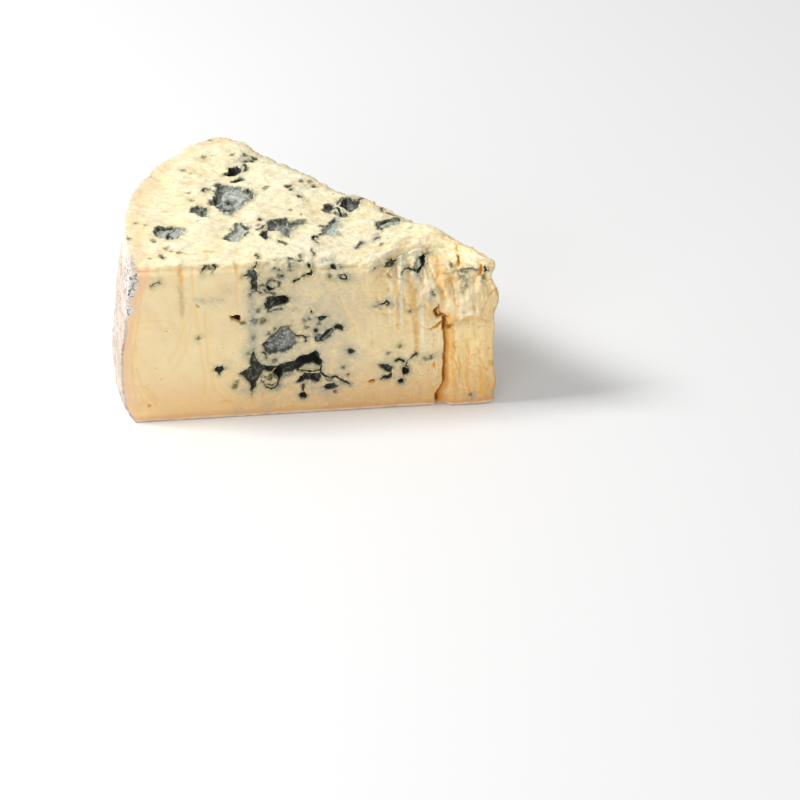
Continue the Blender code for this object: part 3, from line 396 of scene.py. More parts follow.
# Soft discoloured patches: strength, how blue, and (place, place, reach) of each.
HAZES = {LONG: [
    (0.45, 0.9, [(84.4, 69.2, 2.2)]),
    (0.55, 0.5, [(58, 60, 4), (56, 57, 2.6), (61, 47, 3.4), (64, 47.5, 2.6), (54, 13, 4), (48, 12, 3.2),
     (50.5, 29, 3), (57, 25, 3.2), (63, 26, 3), (70, 31, 3), (80, 40.5, 3.6), (75, 44, 3.4),
     (86.5, 14.5, 3.2), (76, 12, 3), (80, 9, 3.2), (68, 53, 2.4)]),
    (0.35, 0.3, [(36, 69, 3.4), (33, 54, 3), (38, 53, 3.6), (25.6, 60, 1.8), (26, 55, 1.8), (44, 58, 2.6),
     (15.6, 64.4, 2.2), (16, 69, 2.2), (42, 26, 2.2), (45, 14.5, 2.4), (46, 3, 2.8), (58, 4, 2.8),
     (66, 63, 5), (60, 66, 4), (90, 27, 3.4), (94, 26, 2.4), (110, 17, 4.2), (104, 16, 3.8), (108, 24, 3),
     (119, 22, 3), (106, 63, 4), (116, 56, 3.6), (118, 46, 3), (107.5, 47, 3), (126, 24, 2.2),
     (73, 38, 3)]),
    (0.28, 0.4, [(134, 55, 2.6), (137.4, 55.6, 2.8), (135, 50.8, 2.6), (136.6, 52.6, 2.2), (143.6, 58, 2.4),
     (140, 56.4, 1.8)]),
], TOP: [
    (0.45, 0.6, [(101, 16.6, 2), (103, 20.5, 1.7), (98, 16.6, 1.8), (54, 74.2, 2.2), (55.6, 86.4, 2.2),
     (18, 10, 2), (84.4, 5, 1.8), (52, 84, 3)]),
    (0.32, 0.3, [(58, 27, 2.6), (72, 32, 3.4), (84, 33, 2.8), (96, 52, 3), (90, 50, 3), (109, 28, 4),
     (108, 39, 3), (116, 31, 3.4), (58, 92, 2.6), (74, 76, 3), (80, 62, 3), (74, 56, 3.4), (40, 60, 3),
     (36, 68, 2.4), (46, 28, 3), (52, 35, 1.6), (127, 23, 2.6), (66, 30, 4)]),
], FAR: [
    (0.4, 0.5, [(45, 44, 4.5), (60, 20, 5), (74, 46, 4), (94, 46, 4), (88, 24, 4), (104, 26, 4),
     (30, 35, 3.6), (111, 50, 3.6)]),
]}

# The same, drawn out: strength, how blue, and (place, place, width) along it.
SMEARS = {LONG: [
    (0.62, 0.8, [(52.6, 57, 2), (52.6, 50, 3), (52.9, 44, 3.4), (52.4, 36, 2.8), (51.8, 30, 2)]),
    (0.45, 0.3, [(24.6, 61, 1), (25.8, 55, 2.2), (25.2, 49, 1.2)]),
    (0.5, 0.6, [(30.6, 55.4, 1.2), (35, 54.2, 2.6), (41, 53.8, 2.2)]),
    (0.45, 0.4, [(36, 70, 2), (34, 65, 1.6)]),
    (0.35, 0.2, [(125, 46, 2.4), (121, 49, 2), (119, 55, 1.6)]),
    (0.35, 0.3, [(129, 37.4, 2), (134, 38, 2.4), (139, 37, 1.8)]),
    (0.55, 0.5, [(133.6, 57.6, 1.6), (137, 58, 2.6), (141, 59.4, 1.8)]),
    (0.5, 0.4, [(134.8, 55.4, 1.6), (136.2, 53.6, 2.2), (134.4, 50.8, 0.8)]),
], TOP: [
    (0.55, 0.7, [(98, 16.4, 1.4), (101, 17.4, 2.2), (103.2, 20, 1.8), (103.6, 22, 1)]),
    (0.5, 0.4, [(36.5, 68, 0.8), (39.5, 69, 1.8), (43, 69.6, 0.8)]),
    (0.85, 0.3, [(53.6, 83.6, 2.6), (57, 87, 5.6), (60, 85.8, 2.6)]),
    (0.8, 0.7, [(76, 2.6, 1.6), (80, 3, 2.6), (86, 3.6, 1.6)]),
    (0.7, 0.8, [(59, 2, 1), (66, 1.6, 1.8), (72, 2.2, 1)]),
    (0.5, 0.5, [(54.6, 81, 1.4), (54.6, 76, 2.4)]),
]}

# Mould of another tone: the tone, and (place, place, reach) where it lies.
SHADES = {LONG: [
    (-0.25, [(65, 52.4, 2.3), (61.2, 18, 1.8), (75, 25.6, 3.6), (60, 57.6, 1.6)]),
    (0.3, [(66.4, 21.2, 2.4), (63.6, 20.6, 1.8), (59.8, 50.6, 1.8), (78.8, 24.4, 1.2)]),
    (0.26, [(57.6, 31.4, 2.6), (60.6, 33.6, 2.4)]),
    (0.52, [(66.4, 34.6, 3), (64.2, 31.6, 2.4), (66, 38.2, 1.8)]),
    (0.08, [(51.8, 19.4, 1.2), (53.8, 21.6, 1.6), (77, 17, 2)]),
], TOP: [
    (0.1, [(47, 53.4, 1.5), (45.9, 47.2, 1.5), (56.4, 54.6, 1.3), (41.4, 55, 1.6)]),
    (0.98, [(44.6, 56.2, 1), (46.6, 58.4, 1.2), (49.8, 58.2, 1.3), (52.1, 55.1, 1.4), (50.4, 50.8, 1.4),
     (47.4, 50.2, 1), (44.9, 51.7, 0.9)]),
    (0.8, [(46.6, 42.4, 2.2), (54, 58, 1.4)]),
    (0.36, [(43.4, 63.6, 3), (43, 51, 2)]),
    (0.84, [(24.6, 26.6, 2.2), (27, 28.6, 1.2)]),
    (0.3, [(66.6, 24.2, 1.8), (62.8, 26.4, 1.8)]),
    (0.64, [(64.4, 31, 2.6), (72, 32.2, 2.4)]),
]}

# Streaks of deeper yellow paste, or pale ridges where below 0: strength, (place, place, width) along it.
WAXES = {LONG: [
    (1, [(25.3, 70.4, 0.8), (25.4, 66, 1.5), (25.5, 61, 0.6)]),
    (0.5, [(25.6, 62, 0.8), (25.2, 54, 0.9), (25.4, 47, 0.4)]),
    (0.8, [(5.6, 69, 3), (5.4, 62, 2.6), (6.8, 54, 1.4), (5.4, 44, 1)]),
    (-0.9, [(110.8, 70.4, 1), (111.1, 66.5, 1.6), (110.7, 61.1, 1.5), (110.9, 55.3, 1.7), (110.6, 48, 1.5),
     (110.8, 38, 1)]),
    (-0.8, [(112.9, 67.5, 0.8), (112.2, 62.2, 1.1), (112.4, 55.1, 0.9), (112.9, 46, 0.6)]),
    (-0.7, [(118.2, 54, 0.8), (118.6, 46, 1.6), (118.8, 36, 1.4), (119.6, 26, 0.8)]),
    (-0.7, [(106.6, 58, 0.8), (106.2, 48, 1.3), (106, 38, 0.7)]),
    (1, [(113.6, 60, 0.8), (114.7, 56.8, 1.6), (115.3, 52.4, 2.4), (115.6, 47.6, 2.2), (115.9, 41.6, 2),
     (116.4, 34, 1.6), (116.6, 24, 0.6)]),
    (0.8, [(108.6, 66, 1), (109.2, 56, 1.4), (108.8, 46, 1.2), (109, 36, 0.6)]),
    (0.9, [(125, 65, 1), (125.8, 60, 2.4), (125.4, 55, 2.2), (126.6, 48.4, 1.4)]),
    (1, [(128.6, 42.4, 0.8), (130, 38.6, 2.2), (129.6, 32, 1.6), (129.9, 25, 0.8)]),
    (0.6, [(127.4, 66, 0.7), (127.1, 60.2, 1), (128.2, 55, 1), (129.2, 49, 0.6)]),
    (0.6, [(131, 50, 0.5), (132, 46, 0.9), (131.6, 42.4, 0.5)]),
    (0.6, [(119.2, 50.4, 0.5), (120.6, 48, 0.9), (123, 46.4, 0.6)]),
    (0.8, [(128.4, 41.2, 1), (132.6, 39.4, 1.4), (135.4, 38.2, 1), (138.4, 40.4, 1.2), (141, 40, 0.8)]),
    (1, [(130.6, 34, 0.6), (131.2, 27, 1.2), (130.4, 20, 1), (131, 10, 1.2)]),
    (1, [(136.6, 30, 0.4), (137.2, 22, 0.8), (136.6, 14, 1), (137.4, 6, 0.8)]),
    (1, [(141.4, 26, 0.5), (142, 18, 1.2), (142.4, 10, 1.6), (142, 4, 1)]),
    (0.5, [(10, 16, 1.2), (13, 11, 2), (14, 9, 1)]),
    (0.5, [(38, 7, 0.6), (41, 7.8, 1.2), (44, 6.6, 0.6)]),
    (0.6, [(52.6, 13, 0.5), (52.2, 10, 0.9), (51.2, 6.6, 0.9), (50.6, 2.6, 0.6)]),
    (0.5, [(47.6, 71, 1.4), (47, 67, 1), (48.4, 63.4, 0.8)]),
], TOP: [
    (0.9, [(28, 9.4, 0.5), (29.6, 8.6, 0.9), (31, 8.6, 0.4)]),
    (0.9, [(35, 10.6, 0.5), (37.4, 10, 1), (39, 10.2, 0.5)]),
    (0.8, [(17.6, 25, 0.4), (20.4, 24.4, 0.7), (23, 24.8, 0.4)]),
    (0.8, [(20.6, 45, 0.4), (22.6, 44.2, 0.9), (24.8, 44.2, 0.5)]),
    (0.8, [(26.6, 56.6, 0.8), (28.4, 56.2, 1.2), (29.6, 56.2, 0.6)]),
    (0.8, [(50.2, 13.4, 0.5), (52.4, 12.8, 0.8), (54.6, 13.2, 0.4)]),
    (0.8, [(32.6, 74.6, 0.8), (34, 75.4, 1.4), (35, 75.2, 0.7)]),
    (0.8, [(9.4, 30, 0.5), (12, 29.4, 0.8), (14, 29.8, 0.4)]),
    (0.6, [(133, 11.4, 0.5), (133.4, 7, 0.8), (132.8, 3, 0.6)]),
    (0.6, [(128.2, 17.2, 0.5), (128.8, 13.6, 0.8), (128.2, 10, 0.5)]),
]}

# Fine furrows in the waxy paste near the rind, where the knife has drawn it along: (x, z, width).
FLOW_LINES = [
    [(30.8, 54, 0.5), (31.6, 44, 0.9), (32.6, 30, 0.9), (33.6, 16, 0.8), (32.4, 9, 0.3)],
    [(34.4, 50, 0.4), (34.8, 38, 0.8), (35.2, 24, 0.8), (36.8, 14, 0.7), (41, 8, 0.4)],
    [(26.8, 46, 0.3), (24.6, 37, 0.8), (22, 31, 0.7), (19.6, 27, 0.3)],
    [(29, 44, 0.3), (27.2, 35, 0.7), (24, 27, 0.7), (21.4, 23, 0.3)],
    [(6, 45.2, 0.3), (10, 46.8, 0.7), (16, 47.2, 0.7), (20.6, 46.6, 0.3)],
    [(6.6, 41.6, 0.3), (10.4, 43.8, 0.6), (15, 44.2, 0.3)],
    [(5.6, 42, 0.4), (5.4, 30, 0.7), (6.6, 18, 0.8), (9.6, 10, 0.4)],
    [(7.4, 38, 0.3), (7.2, 26, 0.6), (9.4, 15, 0.6), (14, 8, 0.3)],
    [(25, 71, 0.8), (25.2, 62, 1.4), (25.8, 52, 1), (25.4, 44, 0.4)],
    [(30.4, 70, 0.5), (30, 62, 0.8), (30.6, 56, 0.4)],
    [(86, 55, 0.4), (89, 47, 1), (92, 40, 0.8), (93.6, 34, 0.3)],
    [(47, 71, 0.6), (47.6, 62, 0.9), (47.2, 52, 0.5)],
]

# ------------------------------------------------------------------ the crack behind the tip chunk
# Stations up the crack: its sharp left wall, its width and its depth, at a height.
Station = namedtuple("Station", "z wall width deep")
CRACK = [
    Station(-1.0, 124.0, 6.0, 5.0),
    Station(2.0, 124.2, 6.0, 5.0),
    Station(5.0, 124.0, 5.6, 5.0),
    Station(7.5, 125.0, 4.6, 5.0),
    Station(10.0, 126.6, 3.6, 4.6),
    Station(15.0, 127.0, 3.2, 4.0),
    Station(22.0, 127.2, 3.0, 3.6),
    Station(28.0, 127.9, 2.6, 3.2),
    Station(33.0, 127.4, 2.4, 3.0),
    Station(37.0, 127.6, 2.4, 2.8),
    Station(40.5, 126.6, 2.2, 2.2),
    Station(43.5, 125.2, 1.4, 1.2),
    Station(46.5, 124.8, 0.8, 0.0),
]


# ------------------------------------------------------------------ small numeric helpers
def smooth_step(value, low, high):
    t = np.clip((value - low) / (high - low), 0.0, 1.0)
    return t * t * (3 - 2 * t)


def bell(value, centre, reach):
    return np.exp(-(((value - centre) / reach) ** 2))


def stack(*columns):
    return np.stack(columns, axis=1)


def rough(points, size, offset=(0.0, 0.0, 0.0), octaves=1, stretch=(1.0, 1.0, 1.0)):
    """Noise from -1 to 1 with lumps of the given size, longer along stretch; offset picks its part."""
    places = points / (np.array(stretch) * size) + np.array(offset)
    if octaves == 1:
        return np.array([noise.noise(p) for p in places.tolist()])
    return np.array([noise.fractal(p, 0.9, 2.1, octaves) for p in places.tolist()])


def creased(points, size, offset, octaves=3):
    """Ridged noise, 0 to about 1: sharp crests with soft hollows between them."""
    places = points / size + np.array(offset)
    values = [noise.ridged_multi_fractal(p, 0.9, 2.1, octaves, 0.9, 2.0) for p in places.tolist()]
    return np.clip(np.array(values) / 2.2, 0.0, 1.4)


def wander(points, size, offsets):
    """A shift of each point by up to 1 along each axis."""
    return stack(*[rough(points, size, offset) for offset in offsets])


# ------------------------------------------------------------------ where a point lies on the form
def rind_radius(z):
    up = np.clip((z - BELLY_HEIGHT) / (HEIGHT - BELLY_HEIGHT), 0.0, None)
    down = np.clip((BELLY_HEIGHT - z) / BELLY_HEIGHT, 0.0, None)
    foot = np.clip((FOOT_ROUND - z) / FOOT_ROUND, 0.0, None)
    inset = RIND_TOP_INSET * up**1.3 + RIND_FOOT_INSET * down**2 + FOOT_ROUND_INSET * foot**2
    return RIND_RADIUS - inset


def below_top(points):
    x, y, z = points.T
    return HEIGHT - TOP_FALL * (x + y) - z


def far_distance(points):
    """Distance inside the far cut face, which bends outwards before the rind."""
    flat = points[:, :2]
    inside = -((flat - TIP) @ FAR_OUT)
    corners = [np.array(c) for c in RIND_END]
    for a, b in zip(corners, corners[1:]):
        run = (b - a) / np.linalg.norm(b - a)
        out = np.array([run[1], -run[0]])
        inside = np.maximum(inside, -((flat - a) @ out)) if out @ FAR_OUT > 0 else inside
    return inside


def inside_rind(points):
    reach = np.linalg.norm(points[:, :2] - RIND_CENTRE, axis=1)
    return rind_radius(points[:, 2]) - reach


def on_face(points):
    """How much each point belongs to each face, 0 to 1, falling off over a round edge."""
    inside = {
        LONG: points[:, 1],
        TOP: below_top(points),
        FAR: far_distance(points),
        "rind": inside_rind(points),
        "base": points[:, 2],
    }
    return {face: 1 - smooth_step(gap, 0.0, ROUND_EDGE) for face, gap in inside.items()}


def outward(points, near):
    """Direction out of the form, turning smoothly round its edges."""
    radial = points[:, :2] - RIND_CENTRE
    radial /= np.linalg.norm(radial, axis=1)[:, None]
    out = np.zeros_like(points)
    out[:, 1] -= near[LONG]
    out[:, 2] += near[TOP] - near["base"]
    out[:, :2] += near[FAR][:, None] * FAR_OUT + near["rind"][:, None] * radial
    length = np.linalg.norm(out, axis=1)[:, None]
    return out / np.maximum(length, 1e-6)


def face_places(points, face):
    if face == LONG:
        return points[:, [0, 2]]
    if face == TOP:
        return points[:, :2]
    return stack((points[:, :2] - TIP) @ FAR_ALONG, points[:, 2])


def spread(points):
    """The rind's front corner pushed out past the wheel's round."""
    rise = smooth_step(points[:, 2], SPREAD_FOOT_END, SPREAD_FULL)
    amount = CORNER_SPREAD_FOOT + (CORNER_SPREAD - CORNER_SPREAD_FOOT) * rise
    amount *= np.exp(-points[:, 1] / SPREAD_FADE)
    amount *= 1 - smooth_step(inside_rind(points), 0.0, SPREAD_DEPTH)
    moved = points.copy()
    moved[:, 0] -= amount
    return moved


# ------------------------------------------------------------------ slumping, as the solid does
def melted_edges(points, moved, below, far, room):
    """Rounds the top's two cut edges, most by the tip's shoulder."""
    x, y = points[:, 0], points[:, 1]
    long_edge = 1 - smooth_step(np.maximum(y, below), 0.0, EDGE_REACH)
    far_edge = (1 - smooth_step(np.maximum(far, below), 0.0, EDGE_REACH)) * FAR_EDGE_SHARE
    melted = (1 - smooth_step(np.hypot(y, below), 0.0, MELT_REACH)) * smooth_step(x, 96.0, 112.0)
    long_edge = long_edge + MELT_SHARE * melted * smooth_step(room, 6.0, 22.0)
    soft = EDGE_SOFT * smooth_step(room, 4.0, 16.0)
    moved[:, 1] += long_edge * soft
    moved[:, :2] -= FAR_OUT * (far_edge * soft)[:, None]
    moved[:, 2] -= np.maximum(long_edge, far_edge) * soft


def uneven_top(points, moved, below):
    """Swells and sags the top, and lets it fall away at the tip."""
    x, y = points[:, 0], points[:, 1]
    near_top = smooth_step(-below, -12.0, 0.0)
    swell = sum(s.height * np.exp(-((x - s.x) ** 2 + (y - s.y) ** 2) / s.reach**2) for s in SWELLS)
    moved[:, 2] += (rough(points, TOP_SIZE) * TOP_WAVE + swell) * near_top
    moved[:, 2] -= EDGE_SAG * bell(x, SAG_CENTRE, SAG_REACH) * np.exp(-y / SAG_DEPTH) * near_top
    moved[:, 2] -= TIP_DROP * smooth_step(x, TIP_DROP_START, TIP_X) * near_top


def leaning_tip(points, moved, room, lift):
    """Leans the long face back towards the tip, and gives the blunt tip its uneven outline."""
    x, y, z = points.T
    lean = LEAN_DEPTH * smooth_step(x, LEAN_START, LEAN_FULL) * smooth_step(z, LEAN_FOOT, LEAN_HEAD)
    safe_room = np.maximum(room, 1e-3)
    moved[:, 1] += np.minimum(lean, 0.45 * safe_room) * (1 - np.clip(y / safe_room, 0.0, 1.0))
    moved[:, 1] -= TIP_PUSH * smooth_step(x, 128.0, 131.0) * (1 - smooth_step(z, 20.0, 50.0))
    bulge = sum(height * bell(z, centre, reach) for centre, reach, height in TIP_BULGES)
    bulge -= TIP_CORNER_CUT * smooth_step(z, 62.5, 68.0)
    moved[:, 0] += bulge * smooth_step(x, 138.0, TIP_X) * lift


def slumped(points):
    y, z = points[:, 1], points[:, 2]
    lift = smooth_step(z, 0.0, 10.0)
    moved = points + wander(points, BROAD_SIZE, WANDER_OFFSETS) * BROAD_WAVE * lift[:, None]
    below = below_top(points)
    far = -((points[:, :2] - TIP) @ FAR_OUT)
    room = y + far / math.cos(CUT_ANGLE)
    melted_edges(points, moved, below, far, room)
    uneven_top(points, moved, below)
    leaning_tip(points, moved, room, lift)
    return moved + spread(points) - points


# ------------------------------------------------------------------ distances to the marks
def pocket_distance(places, outline):
    """Distance to a closed outline, positive inside."""
    corners = np.array(outline)
    nearest = np.full(len(places), np.inf)
    inside = np.zeros(len(places), bool)
    for a, b in zip(corners, np.roll(corners, -1, axis=0)):
        run = b - a
        share = np.clip(((places - a) @ run) / (run @ run), 0.0, 1.0)
        nearest = np.minimum(nearest, np.linalg.norm(places - a - share[:, None] * run, axis=1))
        straddles = (a[1] > places[:, 1]) != (b[1] > places[:, 1])
        crossing = a[0] + (places[:, 1] - a[1]) * run[0] / (run[1] if run[1] else 1e-9)
        inside ^= straddles & (places[:, 0] < crossing)
    return np.where(inside, nearest, -nearest)


def path_distance(places, path):
    """Distance inside a line of varying width, positive inside."""
    best = np.full(len(places), -np.inf)
    for a, b in zip(path, path[1:]):
        start, run = np.array(a[:2]), np.array(b[:2]) - np.array(a[:2])
        share = np.clip(((places - start) @ run) / max(run @ run, 1e-9), 0.0, 1.0)
        gap = np.linalg.norm(places - start - share[:, None] * run, axis=1)
        best = np.maximum(best, (a[2] + (b[2] - a[2]) * share) / 2 - gap)
    return best


def spot_distance(places, spot):
    a, b, radius = spot[0]
    return radius - np.hypot(places[:, 0] - a, places[:, 1] - b)


# A mark's look is a Mould, a slit's depth or a streak's strength.
Mark = namedtuple("Mark", "look points measure")
Mould = namedtuple("Mould", "depth tone tint")


def mould_marks(face):
    marks = [Mark(Mould(*look), points, pocket_distance) for *look, points in POCKETS[face]]
    marks += [Mark(Mould(*look), points, path_distance) for *look, points in VEINS[face]]
    for *look, spots in SPOTS[face]:
        marks += [Mark(Mould(*look), [spot], spot_distance) for spot in spots]
    return marks


def line_marks(rows):
    return [Mark(look, path, path_distance) for look, path in rows]


MARKS = {face: mould_marks(face) for face in FACES}
SLIT_MARKS = {face: line_marks(SLITS.get(face, [])) for face in FACES}
WAX_MARKS = {face: line_marks(rows) for face, rows in WAXES.items()}
FLOW_MARKS = line_marks((None, path) for path in FLOW_LINES)


def near_marks(marks, points, near, face, reach):
    """Yields (mark, picked, distance) for the points of a face within reach of each mark."""
    there = np.flatnonzero(near[face] > 0.03)
    places = face_places(points[there], face)
    for mark in marks:
        corners = np.array([c[:2] for c in mark.points])
        low, high = corners.min(axis=0) - reach, corners.max(axis=0) + reach
        close = np.flatnonzero(((places > low) & (places < high)).all(axis=1))
        if len(close):
            picked = there[close]
            past_edge = 1.6 * (1 - smooth_step(near[face][picked], 0.05, 0.4))
            yield mark, picked, mark.measure(places[close], mark.points) - past_edge


def crack_across(points):
    """(share of the crack's depth, its depth) at points of the long face."""
    z = points[:, 2]
    heights = [s.z for s in CRACK]
    wall = np.interp(z, heights, [s.wall for s in CRACK]) + 0.3 * rough(points, 2.6, (3.1, 0, 0))
    width = np.interp(z, heights, [s.width for s in CRACK])
    deep = np.interp(z, heights, [s.deep for s in CRACK])
    across = points[:, 0] - wall
    falling = smooth_step(across, -0.3, 0.2)
    rising = np.clip(1 - across / width, 0.0, 1.0) ** 1.7
    return falling * rising, deep


# ------------------------------------------------------------------ the fine skin
def mesh_object(bm, name):
    mesh = bpy.data.meshes.new(name)
    bm.to_mesh(mesh)
    bm.free()
    obj = bpy.data.objects.new(name, mesh)
    bpy.context.scene.collection.objects.link(obj)
    return obj


def turned_wheel():
    """Half a wheel: its side's profile, top to bottom, turned about its axis."""
    height = HEIGHT + WHEEL_EXTRA
    heights = np.linspace(height, 0.0, WHEEL_RINGS)
    profile = [(0.0, height)] + [(float(rind_radius(z)), float(z)) for z in heights] + [(0.0, 0.0)]
    bm = bmesh.new()
    verts = [bm.verts.new((r, 0, z)) for r, z in profile]
    for a, b in zip(verts, verts[1:]):
        bm.edges.new((a, b))
    wheel = mesh_object(bm, "turned_wheel")
    wheel.location = (*RIND_CENTRE, 0)
    screw = wheel.modifiers.new("turn", "SCREW")
    screw.steps = screw.render_steps = WHEEL_STEPS
    screw.use_merge_vertices = True
    screw.merge_threshold = 0.0001
    return wheel


def wedge_block():
    """The cut wedge as a plain block that runs past the rind, with its sloping top."""
    end = np.array(RIND_END[-1]) + np.array(FAR_CORNER_TRIM)
    outline = [(-PAST_RIND, 0), (TIP_X - TIP_BLUNT, 0), (TIP_X, 1.5)]
    outline += [tuple(TIP + FAR_ALONG * TIP_BLUNT)] + RIND_END
    outline += [tuple(end), (-PAST_RIND, float(end[1]))]
    bm = bmesh.new()
    bm.faces.new([bm.verts.new((x, y, -BELOW_BASE)) for x, y in outline])
    raised = bmesh.ops.extrude_face_region(bm, geom=bm.faces[:])["geom"]
    for vert in (g for g in raised if isinstance(g, bmesh.types.BMVert)):
        vert.co.z = HEIGHT - TOP_FALL * (vert.co.x + vert.co.y)
    bmesh.ops.recalc_face_normals(bm, faces=bm.faces)
    return mesh_object(bm, "coarse_wedge")


def coarse_wedge():
    """Corners and triangles of the fresh-cut wedge on an even grid of about 4 mm."""
    wedge = wedge_block()
    wheel = turned_wheel()
    halved = wedge.modifiers.new("cut_from_the_wheel", "BOOLEAN")
    halved.operation = "INTERSECT"
    halved.object = wheel
    skin = wedge.modifiers.new("even_skin", "REMESH")
    skin.mode = "SHARP"
    skin.octree_depth = SKIN_DEPTH
    skin.scale = SKIN_SCALE
    skin.use_smooth_shade = True
    graph = bpy.context.evaluated_depsgraph_get()
    mesh = bpy.data.meshes.new_from_object(wedge.evaluated_get(graph))
    mesh.calc_loop_triangles()
    verts = np.array([v.co for v in mesh.vertices])
    tris = np.array([t.vertices for t in mesh.loop_triangles])
    for obj in (wedge, wheel):
        bpy.data.objects.remove(obj)
    bpy.data.meshes.remove(mesh)
    return verts, tris


def wanted_length(points):
    """The longest edge the skin may have at each point: short where the marks are."""
    near = on_face(points)
    moved = spread(points)
    length = np.full(len(points), BASE_CELL)
    for face, cell in FACE_CELLS.items():
        length = np.where(near[face] > 0.5, np.minimum(length, cell), length)
    dragged = (near[LONG] > 0.5) & (points[:, 0] > DRAG_START)
    length = np.where(dragged, np.minimum(length, DRAGGED_CELL), length)
    for face in FACES:
        fine = FINE if face != FAR else FAR_FINE
        for _, picked, gap in near_marks(MARKS[face] + SLIT_MARKS[face], moved, near, face, 1.0):
            close = picked[(gap > -0.7) & (near[face][picked] > 0.6)]
            length[close] = np.minimum(length[close], fine)
    for _, picked, gap in near_marks(FLOW_MARKS, moved, near, LONG, 1.0):
        length[picked[gap > -0.6]] = FINE
    crack, deep = crack_across(points)
    in_crack = (crack > 0.02) & (deep > 0.1) & (near[LONG] > 0.6)
    return np.where(in_crack, np.minimum(length, FINE), length)


def split_long_edges(verts, tris):
    """One round: halves the edges that are too long, and a split triangle's longest edge."""
    keys = np.sort(np.stack([tris, np.roll(tris, -1, axis=1)], axis=2), axis=2)
    flat = keys[..., 0] * len(verts) + keys[..., 1]
    unique, index = np.unique(flat, return_inverse=True)
    index = index.reshape(flat.shape)
    a, b = unique // len(verts), unique % len(verts)
    length = np.linalg.norm(verts[a] - verts[b], axis=1)
    middle = (verts[a] + verts[b]) / 2
    split = length > wanted_length(middle)
    first = np.argmax(length[index], axis=1)
    longest = index[np.arange(len(tris)), first]
    while True:
        more = split[index].any(axis=1) & ~split[longest]
        if not more.any():
            break
        split[longest[more]] = True
    fresh = np.full(len(unique), -1)
    fresh[split] = len(verts) + np.arange(split.sum())
    verts = np.vstack([verts, settled(middle[split])])
    return verts, halve(tris, fresh[index], first), int(split.sum())


def halve(tris, middles, first):
    """Cuts each triangle through its longest edge's new middle, then through its others'."""
    rows = np.arange(len(tris))[:, None]
    turn = (first[:, None] + np.arange(3)) % 3
    a, b, c = tris[rows, turn].T
    ab, bc, ca = middles[rows, turn].T
    cut = ab >= 0
    pieces = [stack(a, b, c)[~cut]]
    for plain, ends, third in (
        ((a, ab, c), ((a, ab, ca), (ab, c, ca)), ca),
        ((c, ab, b), ((c, ab, bc), (ab, b, bc)), bc),
    ):
        again = cut & (third >= 0)
        pieces.append(stack(*plain)[cut & ~again])
        pieces += [stack(*end)[again] for end in ends]
    return np.vstack(pieces)


def settled(points):
    """Puts new corners that belong to the rind back on its round."""
    points = points.copy()
    gap = inside_rind(points)
    turned = (gap > 0) & (gap < 0.08)
    radial = points[turned, :2] - RIND_CENTRE
    reach = np.linalg.norm(radial, axis=1)[:, None]
    moved = RIND_CENTRE + radial / reach * (reach + gap[turned][:, None])
    on_long = points[turned, 1] < 1e-4
    moved[on_long, 1] = 0.0
    points[turned, :2] = moved
    return points


def fine_skin():
    verts, tris = coarse_wedge()
    for _ in range(MOST_ROUNDS):
        verts, tris, count = split_long_edges(verts, tris)
        if not count:
            break
    return verts, tris


# ------------------------------------------------------------------ the mould's fields at each corner
def torn_places(points):
    """The places with the ragged wander that makes the marks' outlines uneven."""
    shift = [rough(points, 1.9, o) * 0.45 + rough(points, 0.8, o) * 0.16 for o in TORN_OFFSETS]
    return points + stack(*shift)


def mould_fields(points, near):
    """Signed distances to mould and to bare openings, the hollows' depth and the mould's look."""
    count = len(points)
    mould, amber = np.full(count, -MARK_REACH), np.full(count, -MARK_REACH)
    depth, weight, lip = np.zeros(count), np.full(count, 1e-6), np.zeros(count)
    tone, tint, soft = np.zeros(count), np.zeros(count), np.zeros(count)
    strokes = []
    ragged = torn_places(points)
    for face in FACES:
        for mark, picked, gap in near_marks(MARKS[face], ragged, near, face, MARK_REACH):
            look = mark.look
            mould[picked] = np.maximum(mould[picked], gap)
            hollow = look.depth * smooth_step(gap, -0.1, 0.55 + 0.12 * look.depth)
            depth[picked] = np.maximum(depth[picked], hollow * near[face][picked])
            raised = 0.09 * min(look.depth, 2.5) * bell(gap, -0.5, 0.5) * near[face][picked]
            lip[picked] = np.maximum(lip[picked], raised)
            share = np.exp(np.clip(gap, -4.0, 0.8) * 4.0)
            weight[picked] += share
            tone[picked] += share * look.tone
            tint[picked] += share * look.tint
            soft[picked] += share * (look.depth < SOFT_DEPTH)
            if mark.measure is path_distance:
                strokes.append((look.tone, picked, smooth_step(gap, -0.35, 0.2)))
        for slit, picked, gap in near_marks(SLIT_MARKS[face], ragged, near, face, MARK_REACH):
            amber[picked] = np.maximum(amber[picked], gap)
            hollow = slit.look * smooth_step(gap, -0.25, 0.5)
            depth[picked] = np.maximum(depth[picked], hollow * near[face][picked])
    tone, tint, soft = tone / weight, tint / weight, soft / weight
    for vein_tone, picked, share in strokes:
        tone[picked] += share * (vein_tone - tone[picked])
    shade_tones(points, near, mould, tone)
    return mould, amber, depth, lip, tone, tint, soft


def place_shares(points, face, places):
    """For each (place, place, reach): 1 at the place, fading to 0 around it."""
    across, up = face_places(points, face).T
    for a, b, reach in places:
        yield bell(np.hypot(across - a, up - b), 0.0, reach)


def shade_tones(points, near, mould, tone):
    """Draws the mould's tone towards that of the shades, on and beside the mould."""
    for face, rows in SHADES.items():
        for shade_tone, places in rows:
            for share in place_shares(points, face, places):
                share *= near[face] * (mould > -1.0)
                tone += share * (shade_tone - tone)


